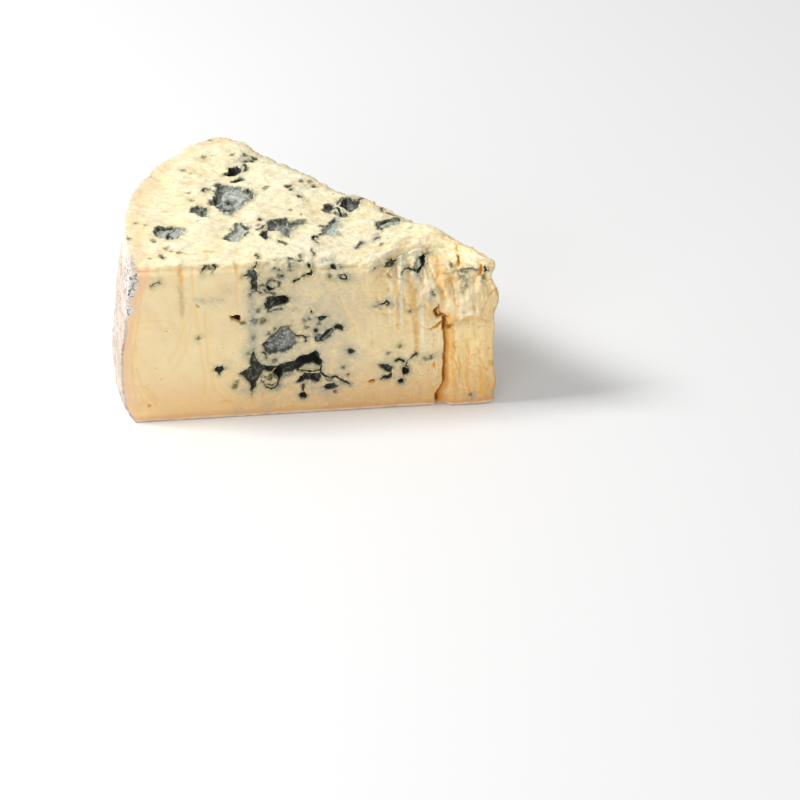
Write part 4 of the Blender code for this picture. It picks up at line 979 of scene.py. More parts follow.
def haze_fields(points, near):
    """Soft greenish and bluish staining of the paste, 0 to 1."""
    stain, blue = np.zeros(len(points)), np.zeros(len(points))

    def add(strength, blueness, share, face):
        amount = strength * share * near[face]
        np.maximum(stain, amount * (1 - blueness * 0.6), out=stain)
        np.maximum(blue, amount * blueness, out=blue)

    for face, rows in HAZES.items():
        for strength, blueness, places in rows:
            for share in place_shares(points, face, places):
                add(strength, blueness, share, face)
    for face, rows in SMEARS.items():
        for strength, blueness, path in rows:
            gap = path_distance(face_places(points, face), path)
            add(strength, blueness, smooth_step(gap, -1.3, 0.9), face)
    return stain, blue


def wax_field(points, near):
    """1 on the streaks of deeper yellow paste, -1 on the pale ridges, 0 away from them."""
    share = np.zeros(len(points))
    wavy = points + 0.5 * rough(points, 3.0, (5.0, 5.0, 2.0))[:, None]
    for face, marks in WAX_MARKS.items():
        for wax, picked, gap in near_marks(marks, wavy, near, face, 2.0):
            streak = wax.look * smooth_step(gap, -0.9, 0.5)
            share[picked] = np.where(np.abs(streak) > np.abs(share[picked]), streak, share[picked])
    return share


def furrows(points, near):
    """1 along the waxy paste's furrows, 0 away from them."""
    share = np.zeros(len(points))
    for _, picked, gap in near_marks(FLOW_MARKS, points, near, LONG, 1.5):
        share[picked] = np.maximum(share[picked], smooth_step(gap, -0.8, 0.3))
    return share


# ------------------------------------------------------------------ relief on each face
def torn_top(points, near):
    """The top's crumbly, smeared paste: lumps, torn edges and small steps, calmer by the far edge."""
    lumps = 0.75 * rough(points, 8.0, (2.0, 4.0, 1.0), 2, (1.4, 1.0, 1.0))
    smeared = 0.50 * rough(points, 3.0, (5.0, 1.0, 3.0), 2, (2.0, 1.0, 1.0))
    slanted = points @ TEAR_TURN / np.array([1.9, 0.8, 1.0])
    tears = creased(slanted, 5.0, (9.1, 3.3, 0.7))
    fine = 0.16 * rough(points, 1.7, (0.6, 7.0, 2.0), 1, (1.6, 1.0, 1.0))
    calm = 0.6 + 0.4 * smooth_step(points[:, 0], 14.0, 40.0)
    calm *= 0.45 + 0.55 * smooth_step(far_distance(points), 0.0, 7.0)
    return (lumps + smeared - 0.80 * tears + 0.40 + fine) * calm * near[TOP]


def kneaded(points):
    """Pulled dough by the tip: (soft folds, pinched creases from 0 to 1, how far it is worked)."""
    wound = points + 5.0 * wander(points, 12.0, SWIRL_OFFSETS)
    folds = rough(wound, 7.5, (7.0, 7.0, 1.0), 2, (1.0, 1.0, 1.4))
    line = np.abs(rough(wound, 6.0, (1.0, 6.0, 2.0), 2, (1.0, 1.0, 2.0)))
    broken = smooth_step(rough(points, 7.0, (3.0, 3.0, 7.0)), -0.25, 0.15)
    pinched = (1 - smooth_step(line, 0.0, 0.13)) * broken
    x, z = points[:, 0], points[:, 2]
    worked = smooth_step(x, DRAG_START, 106.0) * smooth_step(z, 34.0, 50.0)
    block = smooth_step(x, *TIP_BLOCK)
    return folds, pinched, np.maximum(worked, block * (0.55 + 0.45 * smooth_step(z, 34.0, 44.0)))


def upright_drag(points):
    """Fine upright ribs and three deeper wavering grooves and ridges where the paste is dragged."""
    x, z = points[:, 0], points[:, 2]
    ribs = 0.34 * rough(points, 2.6, (3.0, 0.0, 0.0), 2, (1.0, 1.0, 6.0))
    sway = 1.2 * np.sin(z / 9.0) + 0.8 * rough(points, 9.0, (2.0, 0.0, 5.0))
    groove = -0.7 * bell(x, 113.4 + sway, 1.3) * smooth_step(z, 26.0, 40.0)
    groove += 0.9 * bell(x, 110.2 + sway, 1.0) * smooth_step(z, 34.0, 46.0)
    groove += 0.5 * bell(x, 121.0 - sway, 1.4) * smooth_step(z, 44.0, 52.0)
    return (ribs + groove) * smooth_step(x, DRAG_START, 110.0) * smooth_step(z, 22.0, 40.0)


def tip_block(points):
    """The fibres of the block at the tip, and the ledge with its swelling that runs across it."""
    x, z = points[:, 0], points[:, 2]
    fibres = 0.22 * rough(points, 1.9, (8.0, 1.0, 1.0), 2, (1.0, 1.0, 4.0))
    height = 38.0 + 2.6 * rough(points, 9.0, (1.0, 1.0, 1.0), 2) + 1.4 * bell(x, 137.0, 3.0)
    ledge = -1.1 * bell(z, height, 0.9) * (0.7 + 0.6 * rough(points, 5.0, (2.0, 0.0, 0.0)))
    swelling = 0.5 * bell(z, height + 2.4, 1.4)
    return (fibres + ledge + swelling) * smooth_step(x, *TIP_BLOCK)


def long_face(points, near, drawn):
    """The long face: waxy and smooth near the rind, dragged upright and torn towards the tip."""
    x = points[:, 0]
    waxy = 0.22 * rough(points, 9.0, (1.0, 2.0, 3.0), 2, (1.0, 1.0, 2.2))
    flow = 0.09 * np.sin(rough(points, 16.0, (4.0, 0.0, 8.0)) * 9.0 + x * 0.28)
    folds, pinched, worked = kneaded(points)
    rugged = 0.2 + 1.25 * folds - 0.75 * pinched - 0.30 * creased(points, 3.6, (4.0, 2.0, 2.0), 2)
    pits = 0.26 * rough(points, 2.8, (2.0, 8.0, 0.0), 3) - 0.2 * creased(points, 4.4, (5.0, 5.0, 1.0))
    pitted = pits * smooth_step(x, 42.0, 58.0)
    relief = waxy + flow - 0.16 * drawn + upright_drag(points) + rugged * worked + pitted
    relief += tip_block(points)
    return relief * near[LONG], pinched * worked * np.maximum(near[LONG], near[TOP])


def crinkled_rind(points, near):
    """The bloomy rind: fine wrinkles with dimples between them."""
    wrinkles = creased(points, 5.0, (4.0, 4.0, 4.0), 4)
    dimples = rough(points, 2.2, (1.0, 3.0, 8.0), 2)
    broad = 0.5 * rough(points, 15.0, (3.0, 3.0, 1.0), 2)
    return (0.55 * (wrinkles - 0.6) + 0.2 * dimples + broad) * near["rind"]


def far_face(points, near):
    """The far cut face, dragged by the wire and crumbled along its upper edge."""
    waxy = 0.3 * rough(points, 8.0, (6.0, 1.0, 2.0), 3)
    drag = 0.3 * rough(points, 1.9, (1.0, 5.0, 0.0), 2, (1.0, 1.0, 7.0))
    crumbs = smooth_step(points[:, 2], 48.0, 66.0)
    rugged = 0.6 * rough(points, 3.8, (2.0, 5.0, 6.0), 3) - 0.4 * creased(points, 4.8, (3.0, 1.0, 9.0))
    return (waxy + drag + rugged * crumbs) * near[FAR]


def pocket_floor(points, depth, gap):
    """Folds of mould on a hollow's floor, as a share of its depth, following the hollow's wall."""
    sway = 2.4 * rough(points, 5.0, (8.0, 2.0, 5.0))
    folds = 0.5 + 0.5 * np.sin(2.1 * gap + sway)
    inner = smooth_step(gap, 0.6, 1.6)
    return depth * (1.0 - 0.34 * folds * inner - 0.10 * rough(points, 1.3, (1.0, 1.0, 6.0)))


def ragged_edge(points, near):
    """Torn bits along the top's two cut edges."""
    torn = 0.8 * rough(points, 3.6, (3.0, 6.0, 0.0), 3, (1.6, 1.0, 1.0)) - 0.05
    front = smooth_step(near[TOP] * near[LONG], 0.0, 0.3)
    return torn * (front + 0.25 * smooth_step(near[TOP] * near[FAR], 0.0, 0.3))


def curled_foot(points):
    """How far the foot's front edge stands clear of the floor, unevenly."""
    rim = (1 - smooth_step(points[:, 2], 0.0, 1.6)) * (1 - smooth_step(points[:, 1], 0.0, 2.2))
    return 0.9 * rim * np.clip(0.45 + rough(points, 5.0, (1.0, 3.0, 0.0), 2), 0.0, 1.0)


# ------------------------------------------------------------------ where each look belongs
def crinkled_share(points):
    """Where the rind carries dark crinkles: clusters by its front corner, faint patches elsewhere."""
    y, z = points[:, 1], points[:, 2]
    front = bell(z, 63.5, 6.5) * (1 - smooth_step(y, 7.0, 16.0))
    front = np.maximum(front, bell(z, 52.0, 2.4) * (1 - smooth_step(y, 3.0, 8.0)))
    patches = smooth_step(rough(points, 16.0, (6.0, 2.0, 2.0), 2), 0.10, 0.5)
    patches *= (1 - smooth_step(z, 56.0, 66.0)) * smooth_step(y, 8.0, 20.0)
    return np.maximum(front, 0.4 * patches)


def crown_share(points):
    """How much of the top's pale, dry look a point has: it fades out at the cut edges."""
    x, y = points[:, 0], points[:, 1]
    wobble = 0.8 * rough(points, 5.0, (2.2, 0.4, 0.0), 3)
    torn = smooth_step(x, 92.0, 110.0)
    back = np.maximum(smooth_step(y + wobble, -0.4, 1.6), torn)
    from_far = smooth_step(far_distance(points) + wobble, 0.4, 3.0)
    down = below_top(points) + wobble * (1 + 3 * torn)
    return back * from_far * (1 - smooth_step(down, -0.2, 1.5 + 14.0 * torn))


def speckle_share(points):
    """How thickly small specks of mould are strewn: few near the rind, many in the middle."""
    x, y = points[:, 0], points[:, 1]
    middle = smooth_step(x + 0.3 * y, 34.0, 56.0) * (1 - 0.6 * smooth_step(x, 92.0, 112.0))
    return np.clip(0.08 + 0.92 * middle, 0.0, 1.0)


# ------------------------------------------------------------------ the wedge
def wedge_object(points, tris):
    low, high = np.array(CAD_BOX[0]), np.array(CAD_BOX[1])
    place = points * MM
    place[:, :2] += (low + high)[:2] / 2 - SOLID_MIDDLE * MM
    place[:, 2] += low[2]
    mesh = bpy.data.meshes.new("cheese")
    mesh.from_pydata(place.tolist(), [], tris.tolist())
    mesh.validate()
    mesh.shade_smooth()
    obj = bpy.data.objects.new("cheese", mesh)
    bpy.context.scene.collection.objects.link(obj)
    return obj


def finished_wedge():
    ideal, tris = fine_skin()
    points = spread(ideal)
    near = on_face(ideal)
    mould, amber, depth, lip, tone, tint, soft = mould_fields(points, near)
    stain, blue = haze_fields(points, near)
    crack, crack_deep = crack_across(points)
    crack = crack * near[LONG] * smooth_step(crack_deep, 0.0, 0.6)

    drawn = furrows(points, near)
    faced, pinched = long_face(points, near, drawn)
    relief = torn_top(points, near) + faced + crinkled_rind(points, near)
    relief += far_face(points, near) + lip + ragged_edge(points, near)
    relief *= smooth_step(points[:, 2], 0.0, 1.5)
    sunk = pocket_floor(points, depth, mould)
    moved = slumped(ideal) + outward(ideal, near) * (relief - sunk)[:, None]
    moved[:, 1] += crack * crack_deep
    moved[:, 2] = np.where(near["base"] > 0.999, 0.0, np.maximum(moved[:, 2], 0.0))
    moved[:, 2] += curled_foot(points)

    obj = wedge_object(moved, tris)
    # The "crest" field is the relief height; the finish uses it for painted shade in hollows and painted
    # highlight on crests.
    fields = {
        "mould": mould, "amber": amber, "tone": tone, "tint": tint, "soft": soft,
        # The "sunk" and "fissure" fields also drive the painted shade in the openings and the crack.
        "stain": stain, "blue": blue, "sunk": np.clip(sunk / 4.0, 0.0, 1.0), "crest": relief,
        "rind": inside_rind(ideal), "crown": crown_share(ideal), "fissure": crack,
        "speckled": speckle_share(points), "along": points[:, 0], "drawn": drawn,
        "wax": wax_field(points, near), "pinched": pinched, "crinkled": crinkled_share(points),
    }
    for name, values in fields.items():
        layer = obj.data.attributes.new(name, "FLOAT", "POINT")
        layer.data.foreach_set("value", values.astype(np.float32))
    return obj


# ------------------------------------------------------------------ the finish
def srgb(r, g, b):
    """A colour given as 0-255 display values, as the linear colour a shader wants."""
    def linear(value):
        value /= 255
        return value / 12.92 if value <= 0.04045 else ((value + 0.055) / 1.055) ** 2.4

    return (linear(r), linear(g), linear(b), 1.0)


class Nodes:
    """Short names for the shader nodes that the finishes are made from."""

    def __init__(self, name):
        self.material = bpy.data.materials.new(name)
        self.material.use_nodes = True
        self.tree = self.material.node_tree
        self.shader = self.tree.nodes["Principled BSDF"]
        self.place = self.tree.nodes.new("ShaderNodeTexCoord").outputs["Object"]

    def put(self, socket, value):
        """Links a node's output into the socket, or sets its number, vector or 0-255 colour."""
        if isinstance(value, bpy.types.NodeSocket):
            self.tree.links.new(value, socket)
        elif socket.type == "RGBA":
            socket.default_value = srgb(*value)
        else:
            socket.default_value = value

    def add(self, kind, output, inputs, **settings):
        """The named output of a new node with these settings and inputs."""
        node = self.tree.nodes.new("ShaderNode" + kind)
        for name, value in settings.items():
            setattr(node, name, value)
        for name, value in inputs.items():
            self.put(node.inputs[name], value)
        return node.outputs[output]

    def field(self, name):
        return self.add("Attribute", "Fac", {}, attribute_name=name)

    def up(self):
        """Height above the base in metres."""
        return self.add("SeparateXYZ", "Z", {0: self.place})

    def sum(self, operation, *values):
        return self.add("Math", 0, dict(enumerate(values)), operation=operation)

    def plus(self, a, b):
        return self.sum("ADD", a, b)

    def most(self, a, b):
        return self.sum("MAXIMUM", a, b)

    def line(self, value, factor, start):
        """start + factor x value."""
        return self.sum("MULTIPLY_ADD", value, factor, start)

    def times(self, first, *others):
        """The product of all the values."""
        for other in others:
            first = self.sum("MULTIPLY", first, other)
        return first

    def step(self, value, low, high):
        """0 at low, 1 at high, with a smooth run between; low may be the higher one."""
        falling = low > high
        inputs = {
            "Value": value, "From Min": min(low, high), "From Max": max(low, high),
            "To Min": 1.0 if falling else 0.0, "To Max": 0.0 if falling else 1.0,
        }
        return self.add("MapRange", "Result", inputs, interpolation_type="SMOOTHSTEP")

    def scaled_place(self, stretch=None, warp=0.0, warp_size=6.0):
        """The place, longer along stretch, and wandering by up to warp millimetres."""
        place = self.place
        if warp:
            how = {"Vector": place, "Scale": 1 / (warp_size * MM), "Detail": 1.0}
            shift = self.add("TexNoise", "Color", how)
            moved = {0: shift, 1: [2 * warp * MM] * 3, 2: place}
            place = self.add("VectorMath", 0, moved, operation="MULTIPLY_ADD")
        if stretch:
            place = self.add("Mapping", "Vector", {"Vector": place, "Scale": [1 / s for s in stretch]})
        return place

    def noise(self, size, detail=2.0, roughness=0.5, **how):
        """Noise from 0 to 1 with lumps of size millimetres."""
        inputs = {
            "Vector": self.scaled_place(**how), "Scale": 1 / (size * MM),
            "Detail": detail, "Roughness": roughness,
        }
        return self.add("TexNoise", "Fac", inputs)

    def patches(self, low, high, *size, **how):
        """Noise cut off smoothly: 0 where it is low, 1 where it is high."""
        return self.step(self.noise(*size, **how), low, high)

    def cracks(self, size, **how):
        """Distance to the edges of cells of size millimetres, 0 on the edges."""
        inputs = {"Vector": self.scaled_place(**how), "Scale": 1 / (size * MM)}
        return self.add("TexVoronoi", "Distance", inputs, feature="DISTANCE_TO_EDGE")

    def specks(self, size, low, high):
        """Round specks about size millimetres apart."""
        cells = self.add("TexVoronoi", "Distance", {"Vector": self.place, "Scale": 1 / (size * MM)})
        return self.step(cells, low, high)

    def mix(self, share, a, b):
        """Colour a where share is 0, b where it is 1."""
        return self.add("Mix", 2, {"Factor": share, 6: a, 7: b}, data_type="RGBA")

    def lay(self, base, colour, *shares):
        """A colour laid over base by the product of the shares."""
        return self.mix(self.times(*shares), base, colour)

    def bump(self, height, distance):
        inputs = {"Height": height, "Distance": distance * MM, "Strength": 1.0}
        return self.add("Bump", "Normal", inputs)


def cut_face_colour(n, height, mottle, along):
    """Waxy yellow by the rind, greyer in the middle, streaked where dragged, warmer to the tip; warmer and
    darker to the foot, partly the paste's own colour and partly painted warm light reflected from a board
    below.
    """
    face = n.mix(n.step(mottle, 0.35, 0.65), (243, 222, 174), (238, 214, 164))
    middle = n.times(n.step(along, 42.0, 56.0), n.step(along, 104.0, 84.0))
    face = n.lay(face, (212, 198, 166), middle, n.patches(0.30, 0.62, 12.0, 4.0, 0.6), 0.9)
    face = n.lay(face, (188, 184, 150), middle, n.patches(0.50, 0.66, 6.0, 4.0, 0.6, warp=2.0), 0.5)
    dragged = n.noise(2.0, 4.0, 0.6, stretch=(1.0, 1.0, 9.0), warp=1.2)
    streaked = n.line(n.step(along, 88.0, 108.0), 0.45, 0.12)
    face = n.lay(face, (248, 232, 192), n.step(dragged, 0.5, 0.72), streaked)
    face = n.lay(face, (232, 196, 128), n.step(dragged, 0.47, 0.30), streaked)
    face = n.lay(face, (244, 212, 146), n.field("drawn"), 0.55)
    face = n.lay(face, (252, 219, 150), n.step(along, 124.0, 130.0), n.step(height, 48.0, 30.0), 0.75)
    # Warmer and darker towards the foot and the right: partly the paste's own colour, partly painted warm
    # light reflected up from a wooden board.
    foot = n.step(n.plus(height, n.times(mottle, 12.0)), 36.0, 4.0)
    warm = n.mix(n.step(along, 70.0, 100.0), (228, 182, 118), (212, 160, 96))
    return n.lay(face, warm, foot, 0.76)


def top_colour(n, mottle, along):
    """Pale cream with paler and yellower smears, partly the paste's uneven colour and partly painted
    highlight and painted shade, yellower towards the tip.
    """
    smear = n.noise(2.6, 4.0, 0.6, stretch=(2.2, 1.0, 1.2))
    top = n.mix(n.step(mottle, 0.4, 0.62), (247, 237, 203), (246, 232, 190))
    # Partly painted highlight: the paler smears; partly painted shade: the yellower ones.
    top = n.lay(top, (253, 247, 220), n.step(smear, 0.5, 0.7), 0.6)
    top = n.lay(top, (240, 216, 158), n.step(smear, 0.46, 0.3), 0.6)
    return n.lay(top, (243, 218, 162), n.step(along, 112.0, 146.0), 0.6)


def paste_colour(n, height, crown):
    """The cut faces and the top, with painted warm shade in their hollows, painted highlight on their
    crests, and yellower waxy streaks.
    """
    mottle = n.noise(9.0, 3.0)
    along = n.field("along")
    crest, wax = n.field("crest"), n.field("wax")
    paste = n.mix(crown, cut_face_colour(n, height, mottle, along), top_colour(n, mottle, along))
    # Painted shade: yellower where the relief is low, as the hollows' warm shadow; painted highlight: paler
    # where it is high.
    paste = n.lay(paste, (244, 208, 136), n.step(crest, 0.1, -1.3), 0.6)
    paste = n.lay(paste, (254, 247, 224), n.step(crest, 0.1, 1.2), 0.5)
    uneven = n.line(n.patches(0.3, 0.6, 1.8, 3.0), 0.4, 0.55)
    paste = n.lay(paste, (253, 243, 214), n.step(wax, -0.1, -1.0), uneven)
    yellow = n.mix(n.step(along, 120.0, 128.0), (224, 178, 102), (236, 174, 78))
    paste = n.lay(paste, yellow, n.most(wax, 0.0), uneven)
    return add_pinches(n, paste, along)


def add_pinches(n, paste, along):
    """Thin yellow creases with pale ridges beside them, towards the tip: the creases partly painted shade,
    the ridges painted highlight.
    """
    how = {"stretch": (1.0, 1.0, 1.8), "warp": 3.0, "warp_size": 10.0}
    line = n.plus(n.noise(9.0, 1.0, **how), -0.5)
    here = n.times(n.step(along, 100.0, 124.0), n.patches(0.46, 0.60, 7.0))
    ridge = n.times(n.step(line, 0.005, 0.03), n.step(line, 0.09, 0.04))
    # Painted highlight: pale ridges beside the crease lines.
    paste = n.lay(paste, (253, 242, 212), ridge, here, 0.25)
    # Crease lines and short nicks: deeper yellow paste, partly painted shade.
    paste = n.lay(paste, (228, 172, 88), n.step(n.sum("ABSOLUTE", line), 0.018, 0.002), here, 0.5)
    short = n.plus(n.noise(5.2, 1.0, stretch=(1.0, 1.0, 2.6), warp=1.5), -0.5)
    there = n.times(n.step(along, 104.0, 128.0), n.patches(0.50, 0.60, 3.6))
    nick = n.step(n.sum("ABSOLUTE", short), 0.030, 0.006)
    paste = n.lay(paste, (230, 170, 76), nick, there, 0.7)
    # Partly painted shade: yellower in the creases pinched into the relief.
    return n.lay(paste, (236, 186, 104), n.field("pinched"), 0.5)


def add_grain(n, paste, open_paste, crown):
    """The fine crumb of broken paste: small dull pits and pale grains, weaker on the waxy end."""
    broken = n.most(n.line(open_paste, 0.5, 0.1), crown)
    grain = n.noise(1.4, 4.0, 0.6, stretch=(1.5, 1.0, 1.0), warp=0.8)
    patchy = n.times(broken, n.patches(0.34, 0.58, 5.0))
    paste = n.lay(paste, (214, 188, 130), n.step(grain, 0.48, 0.32), patchy, 0.5)
    return n.lay(paste, (255, 249, 222), n.step(grain, 0.52, 0.70), patchy, 0.4)


def add_rind_bands(n, paste, height, crown, wavy):
    """Under the rind a warm zone, an orange line and a pinkish band; the foot has its own thin rind."""
    depth = n.plus(n.field("rind"), wavy)
    cut = n.line(crown, -1.0, 1.0)
    warm = n.times(n.step(depth, 17.0, 3.0), n.patches(0.3, 0.7, 3.4, 4.0, 0.6, stretch=(2.0, 1.0, 1.6)))
    paste = n.lay(paste, (249, 216, 164), warm, 0.6)
    line = n.times(n.step(depth, 5.0, 4.2), n.step(depth, 3.4, 4.0))
    paste = n.lay(paste, (238, 196, 134), line, cut, 0.5)
    inward = n.plus(depth, n.times(n.step(height, 55.0, 64.0), -3.0))
    paste = n.lay(paste, (240, 200, 156), n.step(inward, 4.2, 2.2), n.line(cut, 0.75, 0.15))
    above = n.plus(height, n.times(wavy, 0.5))
    paste = n.lay(paste, (216, 156, 96), n.step(above, 4.2, 1.4), 0.45)
    return n.lay(paste, (238, 212, 188), n.step(above, 1.5, 0.9), 0.85)


def rind_colour(n, height, wavy, crinkled):
    """Dusty white to peach with brown crinkles, dark ones by the front corner, and a paste-pale rim."""
    dusty = n.patches(0.34, 0.62, 5.0, 6.0, 0.6, stretch=(1.0, 1.4, 0.8), warp=1.5)
    rind = n.mix(dusty, (204, 184, 168), (222, 211, 199))
    rind = n.lay(rind, (212, 180, 152), n.patches(0.44, 0.68, 13.0, 4.0, 0.6), 0.6)
    wrinkles = n.step(n.cracks(2.4, warp=1.8, warp_size=2.2), 0.12, 0.02)
    rind = n.lay(rind, (142, 116, 100), wrinkles, n.patches(0.42, 0.60, 6.0, 3.0), 0.65)
    rind = n.lay(rind, (240, 238, 232), n.step(crinkled, 0.1, 0.7), 0.6)
    crinkles = n.step(n.cracks(2.4, warp=1.6, warp_size=2.6), 0.13, 0.03)
    thick = n.times(n.patches(0.36, 0.56, 2.6, 3.0), n.step(crinkled, 0.2, 0.6))
    rind = n.lay(rind, (58, 56, 56), crinkles, thick, 0.9)
    mottled = n.times(n.patches(0.56, 0.66, 1.1, 4.0, 0.65), n.step(crinkled, 0.05, 0.7))
    rind = n.lay(rind, (128, 122, 116), mottled, 0.45)
    rim = n.times(n.step(n.plus(height, n.times(wavy, 1.4)), 60.0, 67.0), n.step(crinkled, 0.3, 0.0))
    return n.lay(rind, (244, 232, 208), rim, 0.85)


def add_rind(n, paste, height, crown):
    """The bands under the rind, then the rind itself with its frayed edge."""
    wavy = n.line(n.noise(6.0, 4.0), 3.0, -1.5)
    crinkled = n.field("crinkled")
    paste = add_rind_bands(n, paste, height, crown, wavy)
    reach = n.plus(n.field("rind"), n.times(crinkled, -1.9))
    frayed = n.line(n.noise(1.5, 3.0, 0.6), 2.2, -1.1)
    reach = n.plus(reach, n.times(frayed, n.plus(crinkled, 0.2)))
    in_rind = n.step(n.plus(reach, n.times(wavy, 0.6)), 1.4, 0.7)
    return n.mix(in_rind, paste, rind_colour(n, height, wavy, crinkled)), in_rind


def add_stains(n, paste):
    """Soft grey-green and blue-grey staining, and strewn specks."""
    stain = n.field("stain")
    mottle = n.line(n.patches(0.34, 0.64, 1.5, 5.0, 0.7, warp=1.0), 0.85, 0.15)
    deeper = n.mix(n.step(stain, 0.3, 0.8), (166, 164, 138), (118, 122, 102))
    paste = n.lay(paste, deeper, stain, mottle)
    paste = n.lay(paste, (128, 142, 148), n.field("blue"), mottle)
    strewn = n.times(n.specks(4.2, 0.20, 0.04), n.patches(0.46, 0.60, 6.5))
    paste = n.lay(paste, (112, 116, 92), strewn, n.field("speckled"), 0.6)
    warm = n.times(n.specks(3.1, 0.14, 0.05), n.patches(0.54, 0.66, 5.0))
    return n.lay(paste, (206, 158, 84), warm, 0.5)


def add_halo(n, paste, gap, tint, crown):
    """Paste discoloured around the mould: a wide pale haze, then a darker one close by."""
    wide = n.times(n.step(gap, -3.8, -0.4), n.patches(0.42, 0.62, 3.6, 4.0, 0.6, warp=1.4))
    pale = n.mix(tint, (168, 172, 152), (180, 174, 128))
    paste = n.lay(paste, pale, wide, n.line(crown, -0.34, 0.62))
    halo = n.times(n.step(gap, -1.5, 0.0), n.patches(0.36, 0.60, 1.5, 4.0, 0.65, warp=0.8))
    return n.lay(paste, n.mix(tint, (112, 118, 108), (120, 118, 80)), halo, 0.75)


def bloom_colour(n, gap, tone, tint):
    """The mould's own tone, broken by pale folds, dark wrinkles, a dark rim and flecks."""
    dark = n.mix(tint, (26, 30, 30), (50, 48, 28))
    pale = n.mix(tint, (198, 204, 198), (186, 186, 152))
    folds = n.noise(1.5, 4.0, 0.6, warp=1.2, warp_size=3.0)
    shifted = n.plus(tone, n.times(n.line(folds, 2.0, -1.0), n.line(tone, 0.55, 0.16)))
    bloom = n.mix(n.step(shifted, -0.02, 0.95), dark, pale)
    wrinkle = n.step(n.cracks(2.3, warp=1.6, warp_size=2.4), 0.12, 0.01)
    wrinkled = n.times(n.patches(0.42, 0.62, 2.4), n.step(tone, 0.80, 0.45))
    bloom = n.lay(bloom, dark, wrinkle, wrinkled, 0.85)
    ridge = n.times(n.step(folds, 0.52, 0.60), n.step(folds, 0.70, 0.62))
    bloom = n.lay(bloom, pale, ridge, n.step(tone, 0.0, 0.3), 0.55)
    rim = n.times(n.step(gap, 0.5, 0.15), n.patches(0.30, 0.46, 1.6))
    bloom = n.lay(bloom, dark, rim, n.line(tone, -0.35, 0.85))
    flecks = n.times(n.patches(0.60, 0.70, 0.8, 3.0, 0.6), n.patches(0.45, 0.60, 3.0, 1.0))
    return n.lay(bloom, (176, 174, 152), flecks, 0.35)


def add_mould(n, paste, fine, crown):
    """The mould with its ragged edge, blurred where it is a smudge, and its halo."""
    tone, tint, soft = n.field("tone"), n.field("tint"), n.field("soft")
    gap = n.plus(n.plus(n.field("mould"), fine), n.line(n.noise(2.6), 0.7, -0.35))
    smudge = n.line(n.noise(1.2, 3.0, 0.65, warp=0.6), 1.6, -0.8)
    gap = n.plus(gap, n.times(smudge, soft))
    paste = add_halo(n, paste, gap, tint, crown)
    crisp = n.times(n.step(gap, -0.12, 0.22), n.line(soft, -1.0, 1.0))
    blurred = n.times(n.step(gap, -0.7, 0.5), n.step(tone, 1.1, 0.2), soft)
    mould = n.plus(crisp, blurred)
    return n.mix(mould, paste, bloom_colour(n, gap, tone, tint)), mould


def add_openings(n, colour, mould, fine):
    """Bare openings and the crack, where the paste shows amber, with painted shade darkening it to dark
    brown where deepest and a painted shadow line along the crack's sharp wall.
    """
    gap = n.plus(n.field("amber"), n.times(fine, 0.35))
    amber = n.mix(n.step(gap, 0.1, 0.6), (236, 182, 84), (216, 144, 50))
    # Painted shade: dark brown where an opening is deepest.
    deepest = n.mix(n.step(n.field("along"), 120.0, 124.0), (58, 36, 16), (130, 100, 46))
    amber = n.lay(amber, deepest, n.step(n.field("sunk"), 0.20, 0.42), n.step(gap, -0.05, 0.25))
    colour = n.lay(colour, amber, n.step(gap, -0.15, 0.15), n.line(mould, -1.0, 1.0))
    fissure = n.field("fissure")
    # The crack: amber paste on its slope, darkened by painted shade towards its deep side, with a painted
    # shadow line along its sharp wall.
    colour = n.lay(colour, (232, 176, 88), n.step(fissure, 0.0, 0.3), 0.75)
    colour = n.lay(colour, (206, 146, 66), n.step(fissure, 0.45, 0.75), 0.9)
    return n.lay(colour, (136, 90, 38), n.step(fissure, 0.84, 0.95), 0.9)


def cheese_finish():
    n = Nodes("blue_cheese")
    height = n.times(n.up(), 1 / MM)
    crown = n.field("crown")
    open_paste = n.step(n.field("along"), 36.0, 60.0)
    fine = n.line(n.noise(0.9, 3.0, 0.6), 0.9, -0.45)
    colour = add_grain(n, paste_colour(n, height, crown), open_paste, crown)
    colour, in_rind = add_rind(n, colour, height, crown)
    colour = add_stains(n, colour)
    colour, mould = add_mould(n, colour, fine, crown)
    colour = add_openings(n, colour, mould, fine)

    crumb = n.noise(2.0, 4.0, 0.6, stretch=(1.5, 1.0, 1.0), warp=0.6)
    relief = n.times(crumb, n.line(crown, 0.45, n.line(open_paste, 0.35, 0.30)))
    rough_skin = n.plus(n.noise(0.9, 5.0), -0.5)
    relief = n.plus(relief, n.times(in_rind, rough_skin, 0.9))
    relief = n.plus(relief, n.times(mould, rough_skin))
    roughness = n.line(n.noise(4.0, 3.0), 0.22, 0.34)
    roughness = n.plus(roughness, n.times(crown, 0.12))
    roughness = n.plus(roughness, n.times(n.most(in_rind, mould), 0.28))
    n.put(n.shader.inputs["Base Color"], colour)
    n.put(n.shader.inputs["Roughness"], roughness)
    n.put(n.shader.inputs["Normal"], n.bump(relief, 0.9))
    n.shader.inputs["Subsurface Weight"].default_value = 0.20
    n.shader.inputs["Subsurface Radius"].default_value = (1.0, 0.62, 0.32)
    n.shader.inputs["Subsurface Scale"].default_value = 1.8 * MM
    n.shader.inputs["Specular IOR Level"].default_value = 0.42
    return n.material


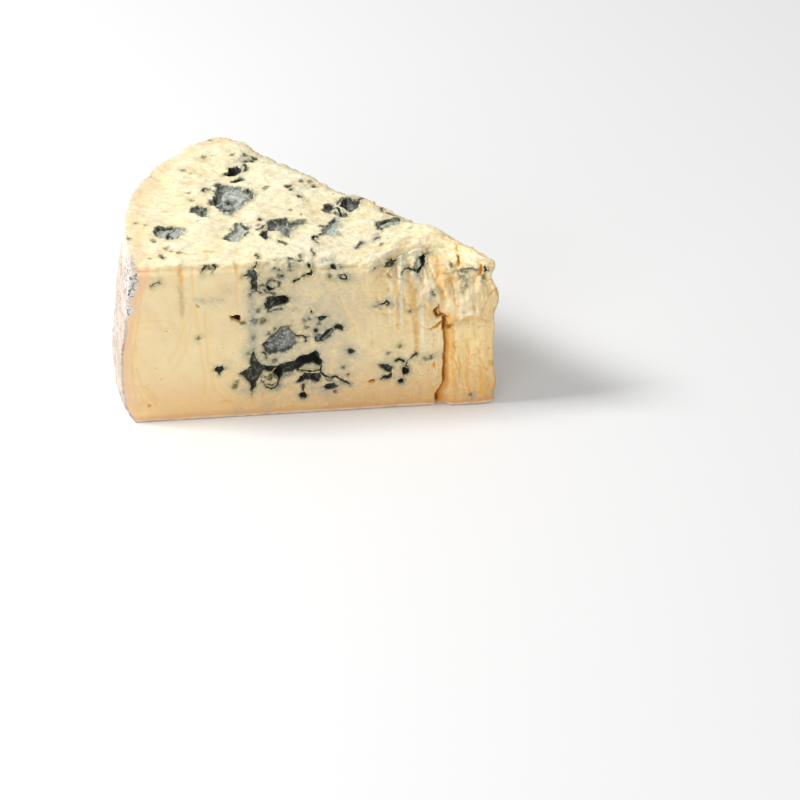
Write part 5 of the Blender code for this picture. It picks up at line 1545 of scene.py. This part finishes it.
# ------------------------------------------------------------------ floor, light and camera
def floor():
    bm = bmesh.new()
    bmesh.ops.create_grid(bm, x_segments=2, y_segments=2, size=FLOOR_REACH)
    obj = mesh_object(bm, "floor")
    n = Nodes("pale_floor")
    n.shader.inputs["Base Color"].default_value = (0.86, 0.86, 0.86, 1)
    n.shader.inputs["Roughness"].default_value = 0.6
    n.shader.inputs["Specular IOR Level"].default_value = 0.2
    obj.data.materials.append(n.material)
    obj.location.z = CAD_BOX[0][2] - FLOOR_GAP * MM


def soft_light(name, place, size, energy):
    """A square lamp in metres and watts that looks at the wedge."""
    data = bpy.data.lights.new(name, "AREA")
    data.shape = "SQUARE"
    data.size = size
    data.energy = energy
    light = bpy.data.objects.new(name, data)
    light.location = place
    light.rotation_euler = (LIGHT_TARGET - Vector(place)).to_track_quat("-Z", "Y").to_euler()
    bpy.context.scene.collection.objects.link(light)


def lighting():
    world = bpy.data.worlds.new("studio")
    world.use_nodes = True
    world.node_tree.nodes["Background"].inputs["Color"].default_value = (1.0, 1.0, 1.0, 1)
    world.node_tree.nodes["Background"].inputs["Strength"].default_value = 0.52
    bpy.context.scene.world = world
    soft_light("key", (-1.00, 0.05, 1.05), 0.40, 17.5)
    soft_light("front_fill", (-0.7, -1.3, 0.5), 0.8, 5.0)
    bpy.context.scene.view_settings.view_transform = "Standard"


def camera():
    data = bpy.data.cameras.new("camera")
    data.lens = CAMERA_LENS
    data.sensor_width = 36.0
    data.clip_end = 20.0
    obj = bpy.data.objects.new("camera", data)
    low, high = np.array(CAD_BOX[0]), np.array(CAD_BOX[1])
    place = CAMERA_PLACE * MM
    place[:2] += (low + high)[:2] / 2 - SOLID_MIDDLE * MM
    place[2] += low[2]
    obj.location = place
    obj.rotation_euler = CAMERA_LOOK.to_track_quat("-Z", "Y").to_euler()
    bpy.context.scene.collection.objects.link(obj)
    bpy.context.scene.camera = obj


# ------------------------------------------------------------------ the scene
cheese = finished_wedge()
cheese.data.materials.append(cheese_finish())
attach(cheese, "root")
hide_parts("cheese_wedge")
floor()
lighting()
camera()
